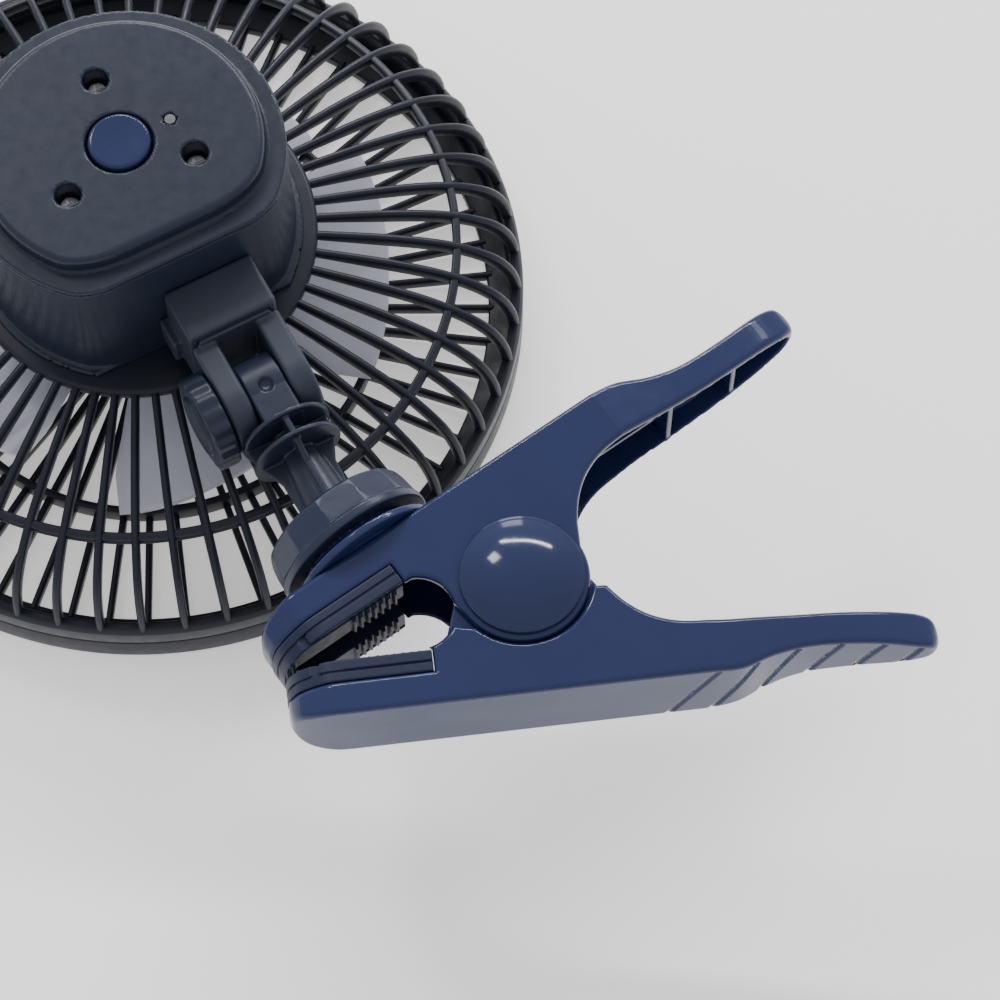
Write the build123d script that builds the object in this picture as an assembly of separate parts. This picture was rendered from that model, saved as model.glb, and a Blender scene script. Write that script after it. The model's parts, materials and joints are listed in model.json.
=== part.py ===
from build123d import *
import math
import os

os.makedirs("parts", exist_ok=True)

# ---------------------------------------------------------------- driving dimensions (mm)
# head, on the fan axis
Z_FRONT = 0.0            # resting face of the front grille
R_RIM = 80.5             # outer radius of the guard
Z_SEAM = 7.4             # seam between the front and the rear grille
Z_BAND = 13.0            # top of the rear grille's band
R_MID, Z_MID = 66.5, 31.0     # middle hoop of the rear grille
R_HUBRING, Z_HUB = 37.5, 37.0 # hub plate of the rear grille
N_SPOKES = 57
SPOKE_T = 1.7
R_DRUM, Z_DRUM = 33.0, 69.0   # motor housing
D_FLAT = 26.6            # flat of the drum, from the axis
DRUM_WALL = 2.2
Z_COVER = 74.0           # plateau of the rear cover
R_SCREW = 15.3           # cover screws' circle
N_BLADES, R_BLADE = 5, 52.0
# directions in plan, degrees
AZ_NECK = -61.4          # neck, flat and bracket
V_OFF = 4.5              # the bracket sits this far to one side of the drum's middle
AZ_UP = 36.2             # upper lever
AZ_LO = 7.0              # lower lever
# tilt hinge
U_HINGE, Z_AXIS = 51.0, 47.0
ARM_R, ARM_IN, ARM_OUT = 8.6, 4.35, 9.6
Z_CAP = 58.7             # top of the bracket
BOLT_R = 2.5
KNOB_R, KNOB_T = 10.0, 4.6
# ball joint
U_BALL, BALL_R = 85.5, 8.0
# clip
PIVOT = (79.7, -87.0)
HALF_W = 12.0            # half of the clip's width
FACE = 23.6              # outer face of a lever, from the pivot
SEAM_Y, PAD_Y = 17.1, 12.5
NOTCH_X, TIP_X = -18.8, -47.6
EYE_R = 13.2
WALL = 2.2
CAP_R = 12.1
RECESS_R = 7.4
CLR = 0.3                # gap between moving plastic parts


def rad(a):
    return math.radians(a)


def cyl(r, z0, z1, x=0.0, y=0.0):
    return Pos(x, y, (z0 + z1) / 2) * Cylinder(r, z1 - z0)


def tube(r1, r0, z0, z1, x=0.0, y=0.0):
    return cyl(r1, z0, z1, x, y) - cyl(r0, z0 - 1, z1 + 1, x, y)


def block(x0, x1, y0, y1, z0, z1):
    return Pos((x0 + x1) / 2, (y0 + y1) / 2, (z0 + z1) / 2) * Box(x1 - x0, y1 - y0, z1 - z0)


def lathe(points):
    """Revolves a closed (r, z) outline about Z."""
    return revolve(Plane.XZ * make_face(Polyline(*points, close=True)), Axis.Z)


def solid_of(shape):
    """The largest solid when a cut leaves crumbs, or the one solid."""
    found = sorted(shape.solids(), key=lambda s: -s.volume)
    return found[0]


def soft(shape, edges, radii):
    """Rounds the edges with the first radius that works."""
    for r in radii:
        try:
            made = fillet(edges, r)
            if made.is_valid and made.volume > 0.6 * shape.volume:
                return made
        except Exception:
            continue
    return shape


def save(shape, name, colour=None):
    solids = shape.solids()
    out = solids[0] if len(solids) == 1 else Compound(children=[Solid(s.wrapped) for s in solids])
    out.label = name
    export_step(out, f"parts/{name}.step")
    print(f"{name:22s} solids {len(solids)} volume {sum(s.volume for s in solids):9.1f}", flush=True)


# frames: DR on the fan axis, N along the neck (x = away from the fan axis, y = along the tilt axis)
DR = Plane(origin=(0, 0, 0), x_dir=(math.cos(rad(AZ_NECK)), math.sin(rad(AZ_NECK)), 0), z_dir=(0, 0, 1))
N = Plane(origin=(-V_OFF * math.sin(rad(AZ_NECK)), V_OFF * math.cos(rad(AZ_NECK)), 0), x_dir=(math.cos(rad(AZ_NECK)), math.sin(rad(AZ_NECK)), 0), z_dir=(0, 0, 1))
UP = Plane(origin=(PIVOT[0], PIVOT[1], Z_AXIS), x_dir=(math.cos(rad(AZ_UP)), math.sin(rad(AZ_UP)), 0), z_dir=(0, 0, 1))
LO = Plane(origin=(PIVOT[0], PIVOT[1], Z_AXIS), x_dir=(math.cos(rad(AZ_LO)), math.sin(rad(AZ_LO)), 0), z_dir=(0, 0, -1))


def place(plane, shape):
    return plane.location * shape


# ---------------------------------------------------------------- rear grille
REAR_TOP = [(35.0, 36.7), (50.0, 35.2), (60.0, 33.4), (66.5, 31.3), (71.5, 28.6), (75.4, 25.4), (78.0, 21.4), (79.6, 16.6), (80.2, 11.0)]
REAR_LOW = [(78.1, 11.0), (77.2, 16.0), (75.6, 20.2), (73.2, 23.4), (69.8, 26.2), (65.4, 28.5), (59.3, 30.4), (49.6, 32.2), (35.0, 34.8)]
fin = extrude(Plane.XZ * make_face(Polyline(*REAR_TOP, *REAR_LOW, close=True)), SPOKE_T / 2, both=True)
rear_fins = [Rot(0, 0, i * 360 / N_SPOKES) * fin for i in range(N_SPOKES)]
band = lathe([(77.9, Z_SEAM + 0.1), (R_RIM, Z_SEAM + 0.1), (R_RIM, Z_BAND - 1.2), (R_RIM - 0.8, Z_BAND), (77.9, Z_BAND)])
hoop = lathe([(R_MID - 1.0, Z_MID - 2.6), (R_MID + 0.8, Z_MID - 3.0), (R_MID + 0.8, Z_MID - 0.3), (R_MID - 1.0, Z_MID + 0.1)])
hub_plate = lathe([(15.2, 34.5), (R_HUBRING, 34.5), (R_HUBRING, 36.4), (R_HUBRING - 0.6, Z_HUB), (15.2, Z_HUB)])
post_circle = [(27.0, AZ_NECK + a) for a in (60, 180, 300)]
for r, a in post_circle:
    hub_plate -= cyl(1.4, 34, 38, r * math.cos(rad(a)), r * math.sin(rad(a)))
rear_grille = hub_plate.fuse(band, hoop, *rear_fins)
save(rear_grille, "rear_grille")

# ---------------------------------------------------------------- front grille
front_ring = lathe([(73.0, 0.0), (79.7, 0.0), (R_RIM, 0.8), (R_RIM, Z_SEAM), (78.3, Z_SEAM), (78.3, 3.4), (73.0, 2.6)])
front_hoop = lathe([(48.6, 0.6), (50.2, 0.6), (50.2, 5.6), (48.6, 5.6)])
front_disc = lathe([(0, 0.0), (20.5, 0.0), (22.0, 1.2), (22.0, 3.4), (0, 3.4)])
front_fin = extrude(Plane.XZ * make_face(Polyline((21.0, 0.6), (74.0, 0.6), (74.0, 3.2), (21.0, 3.2), close=True)), 0.75, both=True)
front_fins = [Rot(0, 0, i * 360 / N_SPOKES) * front_fin for i in range(N_SPOKES)]
front_grille = front_disc.fuse(front_ring, front_hoop, *front_fins)
save(front_grille, "front_grille")

# ---------------------------------------------------------------- motor housing (drum)
def drum_outline(r, flat):
    """Circle of radius r with a flat towards the neck."""
    face = make_face(CenterArc((0, 0), r, 0, 360))
    return face - Pos(flat + 50, 0) * Rectangle(100, 200)


def prism(face, z0, z1):
    return extrude(Plane.XY.offset(z0) * face, z1 - z0)


housing = prism(drum_outline(R_DRUM, D_FLAT), Z_HUB, Z_DRUM)
housing = soft(housing, housing.edges().filter_by(Axis.Z), (3.0, 2.0))
cavity = prism(drum_outline(R_DRUM - DRUM_WALL, D_FLAT - DRUM_WALL), Z_HUB + 2.2, Z_DRUM + 1)
housing -= cavity
housing += tube(R_DRUM + 1.6, R_DRUM - 2.0, Z_HUB, Z_HUB + 1.2) - block(D_FLAT, 60, -60, 60, 30, 60)
housing -= cyl(14.2, 30, 45)
for k in (60, 180, 300):
    px, py = 27.0 * math.cos(rad(k)), 27.0 * math.sin(rad(k))
    housing += cyl(3.2, Z_HUB + 1, 60.0, px, py) & cyl(R_DRUM - 0.5, 30, 70)
    housing -= cyl(1.15, 52, 61, px, py)
    housing -= cyl(1.15, 30, 45, px, py)
for s in (-1, 1):                                  # bracket screw holes in the flat
    housing -= Pos(D_FLAT, V_OFF + s * 4.6, 49) * Rot(0, 90, 0) * Cylinder(1.35, 8)
ux, uz = -(R_DRUM), 64.9                            # charging inlet in the wall away from the neck
housing -= block(ux - 2, ux + 6, -4.65, 4.65, uz - 1.75, uz + 1.75)
for k in (30, 150, 210, 330):                       # motor flange screws
    housing -= cyl(1.0, 30, 41, 16.6 * math.cos(rad(k)), 16.6 * math.sin(rad(k)))
save(place(DR, housing), "motor_housing")

# ---------------------------------------------------------------- rear cover, with its raised plateau
cover = prism(drum_outline(R_DRUM, D_FLAT), Z_DRUM, Z_DRUM + 1.2)
cover = soft(cover, cover.edges().filter_by(Axis.Z), (3.0, 2.0))
plateau = prism(drum_outline(R_DRUM - 4.2, D_FLAT - 4.2), Z_DRUM, Z_COVER)
plateau = soft(plateau, plateau.edges().filter_by(Axis.Z), (5.0, 3.0))
plateau = soft(plateau, plateau.edges().group_by(Axis.Z)[-1], (1.6, 1.0, 0.6))
cover = cover + plateau
lip = prism(drum_outline(R_DRUM - DRUM_WALL - 0.15, D_FLAT - DRUM_WALL - 0.15), Z_DRUM - 1.8, Z_DRUM + 0.1)
lip -= prism(drum_outline(R_DRUM - DRUM_WALL - 1.6, D_FLAT - DRUM_WALL - 1.6), Z_DRUM - 3, Z_DRUM + 1)
lip -= block(-40, -28, -6, 6, 60, 68.9)
cover += lip
cover -= prism(drum_outline(R_DRUM - 6.4, D_FLAT - 6.4), Z_DRUM - 3, Z_COVER - 2.2)
screw_az = [-129.0 - AZ_NECK + k * 120 for k in range(3)]
screw_xy = [(R_SCREW * math.cos(rad(a)), R_SCREW * math.sin(rad(a))) for a in screw_az]
for x, y in screw_xy:
    cover += cyl(4.2, 66.2, Z_COVER - 1, x, y)
    cover -= cyl(2.6, 68.0, Z_COVER + 1, x, y)
    cover -= cyl(1.35, 60, 70, x, y)
cover -= cyl(6.8, 60, 80)                           # button well
cover -= cyl(1.25, 60, 80, 0, 11.2)                 # light pipe hole
save(place(DR, solid_of(cover)), "rear_cover")


def screw(r_head, h_head, r_shank, length, drive=True):
    """Pan head screw, head on top at z 0..h_head, shank down."""
    s = cyl(r_shank, -length, 0.05) + cyl(r_head, 0, h_head)
    s = soft(s, s.edges().filter_by(GeomType.CIRCLE).group_by(Axis.Z)[-1], (h_head * 0.35, 0.2))
    if drive:
        s -= block(-r_head * 0.6, r_head * 0.6, -0.35, 0.35, h_head * 0.45, h_head + 1)
        s -= block(-0.35, 0.35, -r_head * 0.6, r_head * 0.6, h_head * 0.45, h_head + 1)
    return solid_of(s)


save(place(DR, Compound(children=[Pos(x, y, 68.0) * screw(2.3, 1.6, 1.25, 5.5) for x, y in screw_xy])), "cover_screws")

# ---------------------------------------------------------------- inner frame and its screws
frame_plate = prism(drum_outline(R_DRUM - DRUM_WALL - 0.4, D_FLAT - DRUM_WALL - 0.4), 60.1, 61.9)
frame_plate -= cyl(6.0, 58, 64, 0, -20)             # wire pass
for x, y in screw_xy:
    frame_plate += cyl(3.0, 61.8, 66.1, x, y)
    frame_plate -= cyl(1.3, 59, 67, x, y)
for s in (-1, 1):                                  # battery cradle walls
    frame_plate += block(-23.4, -20.9, s * 14 - 2, s * 14 + 2, 50, 60.2)
    frame_plate += block(20.9, 22.6, s * 14.5 - 2, s * 14.5 + 2, 50, 60.2)
for k in (60, 180, 300):
    frame_plate -= cyl(1.35, 59, 63, 27.0 * math.cos(rad(k)), 27.0 * math.sin(rad(k)))
save(place(DR, frame_plate), "inner_frame")
save(place(DR, Compound(children=[Pos(27.0 * math.cos(rad(k)), 27.0 * math.sin(rad(k)), 61.9) * screw(2.2, 1.2, 1.1, 7.0) for k in (60, 180, 300)])), "frame_screws")
save(place(DR, Compound(children=[Pos(27.0 * math.cos(rad(k)), 27.0 * math.sin(rad(k)), 34.5) * Rot(180, 0, 0) * screw(2.2, 1.2, 1.1, 8.0) for k in (60, 180, 300)])), "hub_screws")

# ---------------------------------------------------------------- battery, board, inlet, switch
battery = block(-20.8, 20.8, -15.5, 15.5, 47.6, 59.6)
battery = soft(battery, battery.edges().filter_by(Axis.Y), (4.0, 2.0))
save(place(DR, battery), "battery_pack")
board = prism(make_face(CenterArc((0, 0), 27.6, 0, 360)) - Pos(22.5 + 50, 0) * Rectangle(100, 200), 62.5, 64.1)
for x, y in screw_xy:
    board -= cyl(3.3, 60, 66, x, y)
for k in (60, 180, 300):
    board -= cyl(3.2, 60, 66, 27.0 * math.cos(rad(k)), 27.0 * math.sin(rad(k)))
board += block(-29.5, -22, -5.5, 5.5, 62.5, 64.1)
board -= block(-29.8, -23.9, -4.75, 4.75, 62, 64.2)
save(place(DR, solid_of(board)), "circuit_board")
inlet = block(-32.6, -24.1, -4.47, 4.47, uz - 1.6, uz + 1.6)
inlet = soft(inlet, inlet.edges().filter_by(Axis.X), (1.4, 1.0))
inlet -= block(-34, -25.2, -4.15, 4.15, uz - 1.28, uz + 1.28)
inlet += block(-31.6, -25.0, -3.35, 3.35, uz - 0.35, uz + 0.35)
save(place(DR, inlet), "charging_inlet")
switch = block(-3.0, 3.0, -3.0, 3.0, 64.15, 67.4) + cyl(1.7, 67.3, 68.4)
save(place(DR, switch), "tact_switch")
led = cyl(1.1, 66.4, Z_COVER - 0.1, 0, 11.2) + block(-1.5, 1.5, 9.9, 12.5, 64.15, 66.5)
save(place(DR, led), "light_pipe")

# ---------------------------------------------------------------- power button
button = cyl(6.3, 70.2, 74.8)
button = soft(button, button.edges().filter_by(GeomType.CIRCLE).group_by(Axis.Z)[-1], (0.9, 0.5))
button -= Pos(0, 0, 74.8 + 22.0) * Sphere(22.35)
button += cyl(7.6, 70.2, 71.5) + cyl(1.6, 69.5, 70.3)
save(place(DR, solid_of(button)), "power_button")

# ---------------------------------------------------------------- motor
can = tube(13.8, 12.4, 27.0, 46.0) + tube(18.6, 12.4, 39.3, 40.7)
can += tube(13.8, 2.2, 27.0, 27.9) + tube(13.8, 2.2, 45.0, 46.0)
can += tube(6.3, 5.05, 27.0, 30.0) + tube(6.3, 5.05, 43.0, 46.0)
for k in (30, 150, 210, 330):
    can -= cyl(1.15, 38, 42, 16.6 * math.cos(rad(k)), 16.6 * math.sin(rad(k)))
for k in range(6):
    can -= Rot(0, 0, 30 + 60 * k) * block(8.0, 11.2, -2.4, 2.4, 44, 47)
save(place(DR, solid_of(can)), "motor_can")
save(place(DR, Compound(children=[Pos(16.6 * math.cos(rad(k)), 16.6 * math.sin(rad(k)), 40.75) * screw(2.0, 1.2, 0.95, 3.4) for k in (30, 150, 210, 330)])), "motor_screws")
save(Compound(children=[tube(5.0, 1.58, 27.95, 29.95), tube(5.0, 1.58, 43.05, 44.95)]), "motor_bearings")
shaft = cyl(1.5, 7.5, 44.9) - block(1.1, 3, -3, 3, 7, 18)
save(shaft, "motor_shaft")
rotor = tube(11.6, 1.52, 31.0, 42.0)
for k in range(12):
    rotor -= Rot(0, 0, 30 * k) * block(7.0, 12.5, -0.8, 0.8, 30, 43)
save(rotor, "motor_rotor")

# ---------------------------------------------------------------- fan blade (hub with five pitched blades)
hub = lathe([(0, 9.4), (12.5, 9.4), (15.0, 11.6), (15.0, 25.4), (13.4, 25.4), (13.4, 12.6), (0, 12.6)])
hub += tube(3.6, 1.55, 12.0, 24.0)
for k in range(5):
    hub += Rot(0, 0, 72 * k + 20) * block(3.3, 13.6, -0.6, 0.6, 12.0, 20.0)
hub -= cyl(1.52, 5, 26)


def section(r, chord, pitch, lean):
    """A thin rectangle in the plane that faces along the radius."""
    p = Plane(origin=(r, lean, 17.3), x_dir=(0, math.cos(rad(pitch)), math.sin(rad(pitch))), z_dir=(1, 0, 0))
    return p * Rectangle(chord, 1.5)


blade = loft([section(13.9, 16.5, 38, 0.0), section(24.0, 30.0, 31, 1.0), section(38.0, 45.0, 24, 2.0), section(R_BLADE - 1.2, 52.0, 20, 3.0)])
blades = [Rot(0, 0, 360 / N_BLADES * k) * blade for k in range(N_BLADES)]
impeller = hub.fuse(*blades)
impeller &= cyl(R_BLADE, 0, 40)
impeller -= cyl(1.52, 5, 26)
save(impeller, "fan_blade")
spinner = lathe([(1.55, 4.8), (4.2, 4.8), (5.6, 6.4), (5.6, 9.35), (1.55, 9.35)]) + cyl(1.7, 4.8, 7.3)
save(spinner, "blade_nut")

# ---------------------------------------------------------------- tilt bracket, yoke and their screws
bracket = block(D_FLAT, 38.7, -9.7, 9.7, 41.0, Z_CAP)
bracket = soft(bracket, bracket.edges().filter_by(Axis.X).group_by(Axis.Z)[-1], (1.4, 0.8))
bracket = soft(bracket, bracket.edges().group_by(Axis.X)[-1].group_by(Axis.Z)[-1], (1.0, 0.5))
bracket -= block(30.0, 41.0, -8.0, 8.0, 40.0, Z_CAP - 1.8)
bracket += block(D_FLAT, 33.5, -11.5, -9.5, 42.0, 49.0) + block(D_FLAT, 33.5, 9.5, 11.5, 42.0, 49.0)
for s in (-1, 1):
    bracket -= Pos(29, s * 4.6, 49) * Rot(0, 90, 0) * Cylinder(1.35, 8)
save(place(N, bracket), "tilt_bracket")

arm = block(38.85, U_HINGE, ARM_IN, ARM_OUT, Z_AXIS - ARM_R, Z_AXIS + ARM_R)
eye = Pos(U_HINGE, (ARM_IN + ARM_OUT) / 2, Z_AXIS) * Rot(90, 0, 0) * Cylinder(ARM_R, ARM_OUT - ARM_IN)
one = arm + eye
one = soft(one, one.edges().group_by(Axis.Y)[-1], (1.0, 0.6))
yoke = block(30.2, 38.9, -7.9, 7.9, 41.0, Z_CAP - 1.9) + one + mirror(one, about=Plane.XZ)
yoke += block(38.8, 39.5, -7.9, 7.9, Z_AXIS - ARM_R, 55.4)
yoke -= Pos(U_HINGE, 0, Z_AXIS) * Rot(90, 0, 0) * Cylinder(BOLT_R + 0.05, 40)
hexpocket = Pos(U_HINGE, ARM_OUT, Z_AXIS) * Rot(90, 0, 0) * extrude(RegularPolygon(4.45, 6), 2.6, both=True)
yoke -= hexpocket
for s in (-1, 1):
    yoke -= Pos(34, s * 4.6, 49) * Rot(0, 90, 0) * Cylinder(1.05, 12)
save(place(N, solid_of(yoke)), "tilt_yoke")
save(place(N, Compound(children=[Pos(D_FLAT - DRUM_WALL, s * 4.6, 49) * Rot(0, -90, 0) * screw(2.4, 1.6, 1.0, 12.5) for s in (-1, 1)])), "bracket_screws")
nut = Pos(U_HINGE, ARM_OUT - 1.3, Z_AXIS) * Rot(90, 0, 0) * extrude(RegularPolygon(4.35, 6), 1.2, both=True)
nut -= Pos(U_HINGE, 0, Z_AXIS) * Rot(90, 0, 0) * Cylinder(BOLT_R + 0.05, 40)
save(place(N, nut), "tilt_nut")
bolt = Pos(U_HINGE, -1.975, Z_AXIS) * Rot(90, 0, 0) * Cylinder(BOLT_R, 22.75)
bolt += Pos(U_HINGE, -12.25, Z_AXIS) * Rot(90, 0, 0) * extrude(RegularPolygon(4.4, 6), 1.1, both=True)
save(place(N, bolt), "tilt_bolt")
# knob: disc with a scalloped edge and a raised centre
k0 = -ARM_OUT - 0.4
knob2d = Circle(KNOB_R)
for i in range(18):
    knob2d -= Rot(0, 0, 20 * i) * Pos(KNOB_R + 1.2, 0) * Circle(1.75)
knob = extrude(knob2d, KNOB_T)
knob = soft(knob, knob.edges().group_by(Axis.Z)[-1], (0.7, 0.4))
knob += cyl(6.4, KNOB_T - 0.5, KNOB_T + 0.7)
knob -= cyl(BOLT_R + 0.0, -1, 1.4)
knob -= extrude(Pos(0, 0, 1.0) * RegularPolygon(4.42, 6), 2.35)
knob = Pos(U_HINGE, k0, Z_AXIS) * Rot(90, 0, 0) * knob
save(place(N, knob), "tilt_knob")

# ---------------------------------------------------------------- neck: tongue, two discs, ribbed stem, ball
tongue = block(U_HINGE, 60.4, -4.1, 4.1, Z_AXIS - 7.6, Z_AXIS + 7.6)
tongue += Pos(U_HINGE, 0, Z_AXIS) * Rot(90, 0, 0) * Cylinder(8.0, 8.2)
tongue = soft(tongue, tongue.edges().group_by(Axis.Y)[-1] + tongue.edges().group_by(Axis.Y)[0], (0.6, 0.3))
tongue -= Pos(52.6, 0, Z_AXIS + 8.0) * Sphere(1.5)


def along(r0, r1, u0, u1):
    """A cone or cylinder along the neck axis."""
    if abs(r0 - r1) < 1e-6:
        return Pos((u0 + u1) / 2, 0, Z_AXIS) * Rot(0, 90, 0) * Cylinder(r0, u1 - u0)
    return Pos((u0 + u1) / 2, 0, Z_AXIS) * Rot(0, 90, 0) * Cone(r0, r1, u1 - u0)


neck = tongue + along(9.6, 9.6, 59.9, 60.9) + along(9.6, 9.6, 64.8, 65.8)
neck += along(3.2, 3.2, 60.3, 67.0)
neck += block(60.4, 65.4, -0.7, 0.7, Z_AXIS - 8.8, Z_AXIS + 8.8) + block(60.4, 65.4, -8.8, 8.8, Z_AXIS - 0.7, Z_AXIS + 0.7)
neck += along(3.6, 5.0, 65.4, 80.0) + along(5.0, 5.0, 79.5, 84.0)
rib = Plane.XZ.offset(0.65) * make_face(Polyline((65.5, Z_AXIS - 8.2), (65.5, Z_AXIS + 8.2), (70.5, Z_AXIS + 5.9), (78.2, Z_AXIS + 5.6), (79.6, Z_AXIS + 4.6), (79.6, Z_AXIS - 4.6), (78.2, Z_AXIS - 5.6), (70.5, Z_AXIS - 5.9), close=True))
rib = extrude(rib, -1.3)
neck += rib
neck += Pos(0, 0, Z_AXIS) * Rot(90, 0, 0) * Pos(0, 0, -Z_AXIS) * rib
neck += Pos(U_BALL, 0, Z_AXIS) * Sphere(BALL_R)
neck -= Pos(U_HINGE, 0, Z_AXIS) * Rot(90, 0, 0) * Cylinder(BOLT_R + 0.05, 40)
save(place(N, solid_of(neck)), "swivel_neck")

# ---------------------------------------------------------------- clip frame: ball centre in the upper lever's frame
ball_world = (U_BALL * math.cos(rad(AZ_NECK)) - V_OFF * math.sin(rad(AZ_NECK)), U_BALL * math.sin(rad(AZ_NECK)) + V_OFF * math.cos(rad(AZ_NECK)))
bdx, bdy = ball_world[0] - PIVOT[0], ball_world[1] - PIVOT[1]
BX = bdx * math.cos(rad(AZ_UP)) + bdy * math.sin(rad(AZ_UP))
BY = -bdx * math.sin(rad(AZ_UP)) + bdy * math.cos(rad(AZ_UP))
print("ball centre in the lever frame", round(BX, 3), round(BY, 3), "world", [round(v, 4) for v in ball_world])


def lathe_y(points):
    """Revolves an (r, h) outline about the ball joint's axis; h is measured from the ball centre."""
    s = revolve(Plane.XY * make_face(Polyline(*points, close=True)), Axis.Y)
    return Pos(BX, BY, 0) * s


FH = FACE - BY           # lever face, from the ball centre
seat = lathe_y([(5.6, -8.2), (9.2, -5.6), (9.5, -0.2), (8.0, 0.0), (5.6, -5.0)]) & (Pos(BX, BY, 0) * (Sphere(9.6) - Sphere(BALL_R + CLR)))
save(place(UP, solid_of(seat)), "ball_seat_ring")

socket = lathe_y([(0, FH - 2.9), (8.0, FH - 2.9), (8.0, FH + 0.02), (16.4, FH + 0.02), (16.4, FH + 1.1), (15.6, FH + 1.7), (12.9, FH + 1.9), (12.3, FH + 2.5),
                  (12.3, -0.7), (0, -0.7)])
socket -= Pos(BX, BY, 0) * Sphere(9.9)
for i in range(3):                                  # thread: three shallow rings
    socket += lathe_y([(12.2, -4.7 + 1.4 * i), (12.55, -4.3 + 1.4 * i), (12.2, -3.9 + 1.4 * i)])
for s in (-1, 1):
    socket -= Pos(BX + s * 10.6, FACE, 0) * Rot(90, 0, 0) * Cylinder(1.0, 6.4)
save(place(UP, solid_of(socket)), "ball_socket")
save(place(UP, Compound(children=[Pos(BX + s * 10.6, FACE - WALL - 0.03, 0) * Rot(90, 0, 0) * screw(2.0, 1.2, 0.95, 5.0) for s in (-1, 1)])), "socket_screws")

# collar nut: tapered, twelve facets, plain skirt
NUT_LO, NUT_SK, NUT_HI = -4.7, -2.6, 4.3
body = loft([Plane.XZ.offset(-NUT_SK + 0.2) * RegularPolygon(16.4, 12), Plane.XZ.offset(-NUT_HI) * RegularPolygon(15.5, 12)])
body = body & revolve(Plane.XY * make_face(Polyline((0, -4), (16.3, -4), (16.3, 1.0), (15.5, 3.3), (14.0, NUT_HI), (0, NUT_HI), close=True)), Axis.Y)
body += revolve(Plane.XY * make_face(Polyline((0, NUT_LO), (16.1, NUT_LO), (16.6, NUT_LO + 0.5), (16.6, NUT_SK), (16.1, NUT_SK + 0.4), (0, NUT_SK + 0.4), close=True)), Axis.Y)
body -= revolve(Plane.XY * make_face(Polyline((0, NUT_LO - 1), (12.85, NUT_LO - 1), (12.85, 0.1), (8.4, 0.8), (8.11, 2.0), (7.66, 3.35), (8.6, NUT_HI + 0.01), (8.6, NUT_HI + 2), (0, NUT_HI + 2), close=True)), Axis.Y)
collar = Pos(BX, BY, 0) * body
save(place(UP, solid_of(collar)), "collar_nut")

# ---------------------------------------------------------------- levers
def curve(points, n=3):
    """Smooth line through the points, n pieces a span."""
    out = []
    P = [points[0]] + list(points) + [points[-1]]
    for i in range(1, len(P) - 2):
        p0, p1, p2, p3 = P[i - 1], P[i], P[i + 1], P[i + 2]
        for k in range(n):
            t = k / n
            out.append(tuple(0.5 * (2 * p1[j] + (p2[j] - p0[j]) * t + (2 * p0[j] - 5 * p1[j] + 4 * p2[j] - p3[j]) * t * t
                                    + (-p0[j] + 3 * p1[j] - 3 * p2[j] + p3[j]) * t ** 3) for j in (0, 1)))
    out.append(tuple(points[-1]))
    return out


def arc(c, r, a0, a1, n=8):
    return [(c[0] + r * math.cos(rad(a0 + (a1 - a0) * k / n)), c[1] + r * math.sin(rad(a0 + (a1 - a0) * k / n))) for k in range(n + 1)]


def lever_plan(inset=0.0):
    """The lever seen from its outer face: rounded jaw tip, tapering handle with a rounded end. (x, z)."""
    w = HALF_W - inset
    h = curve([(TIP_X + inset, 0), (TIP_X + 0.5 + inset, 4.6 - inset * 0.6), (TIP_X + 2.6 + inset * 0.8, 8.4 - inset * 0.8), (-40.0, w - 0.5), (-36.0, w)], 2)
    h += curve([(34.0, w), (42.0, 10.4 - inset), (52.0, 8.7 - inset), (62.0, 7.6 - inset), (71.0, 6.0 - inset), (77.6 - inset, 3.2 - inset * 0.5), (79.7 - inset, 0)], 2)
    return make_face(Polyline(*h, *[(x, -z) for x, z in reversed(h[1:-1])], close=True))


def lever_side(lower):
    """The lever's side outline, with the eye of the upper lever or the room for it in the lower one."""
    pts = curve([(TIP_X, SEAM_Y), (TIP_X + 0.1, 20.2), (-45.6, 22.1), (-41.0, 23.3), (-36.0, FACE)], 2)
    pts += curve([(35.0, FACE), (40.0, 23.1), (46.5, 20.7), (54.0, 19.4), (64.0, 19.6), (75.0, 20.6), (78.6, 20.0), (79.8, 17.4), (78.6, 14.6), (75.0, 13.6)], 2)
    pts += curve([(75.0, 13.6), (60.0, 12.8), (46.0, 12.7), (36.0, 12.9), (29.0, 12.4), (23.5, 10.5), (19.2, 7.3), (15.9, 3.4)], 2)[1:]
    if not lower:
        eye = arc((0, 0), EYE_R, -6, -168, 2)
        q = arc((-20.6, 6.0), RECESS_R, -20, 62, 2)
    else:
        eye = arc((0, 0), EYE_R + 0.35, 14, 137, 2)
        q = arc((-20.9, 4.8), RECESS_R, 28, 84, 2)
    pts += [eye[0]]
    rest = [q[2], (NOTCH_X, q[2][1]), (NOTCH_X, SEAM_Y), pts[0]]
    return make_face(Polyline(*pts) + ThreePointArc(*eye) + Line(eye[2], q[0]) + ThreePointArc(*q) + Polyline(*rest))


def channel_side(lower):
    """What is hollowed out between the two walls."""
    pts = [(-44.6, 10.0), (-44.6, 20.6), (-41.5, 21.2), (-36.0, FACE - WALL), (35.0, FACE - WALL), (40.0, 20.9), (46.5, 18.6), (54.0, 17.4), (64.0, 17.6), (73.0, 18.4), (76.6, 18.0), (77.4, 15.0), (77.4, -20), (-44.6, -20)]
    return make_face(Polyline(*pts, close=True))


def lever(lower):
    body = extrude(lever_side(lower), HALF_W, both=True)
    body = body & extrude(Plane.XZ * lever_plan(), 60, both=True)
    inner = extrude(channel_side(lower), HALF_W - WALL, both=True) & extrude(Plane.XZ * lever_plan(WALL), 60, both=True)
    return body - inner


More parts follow.
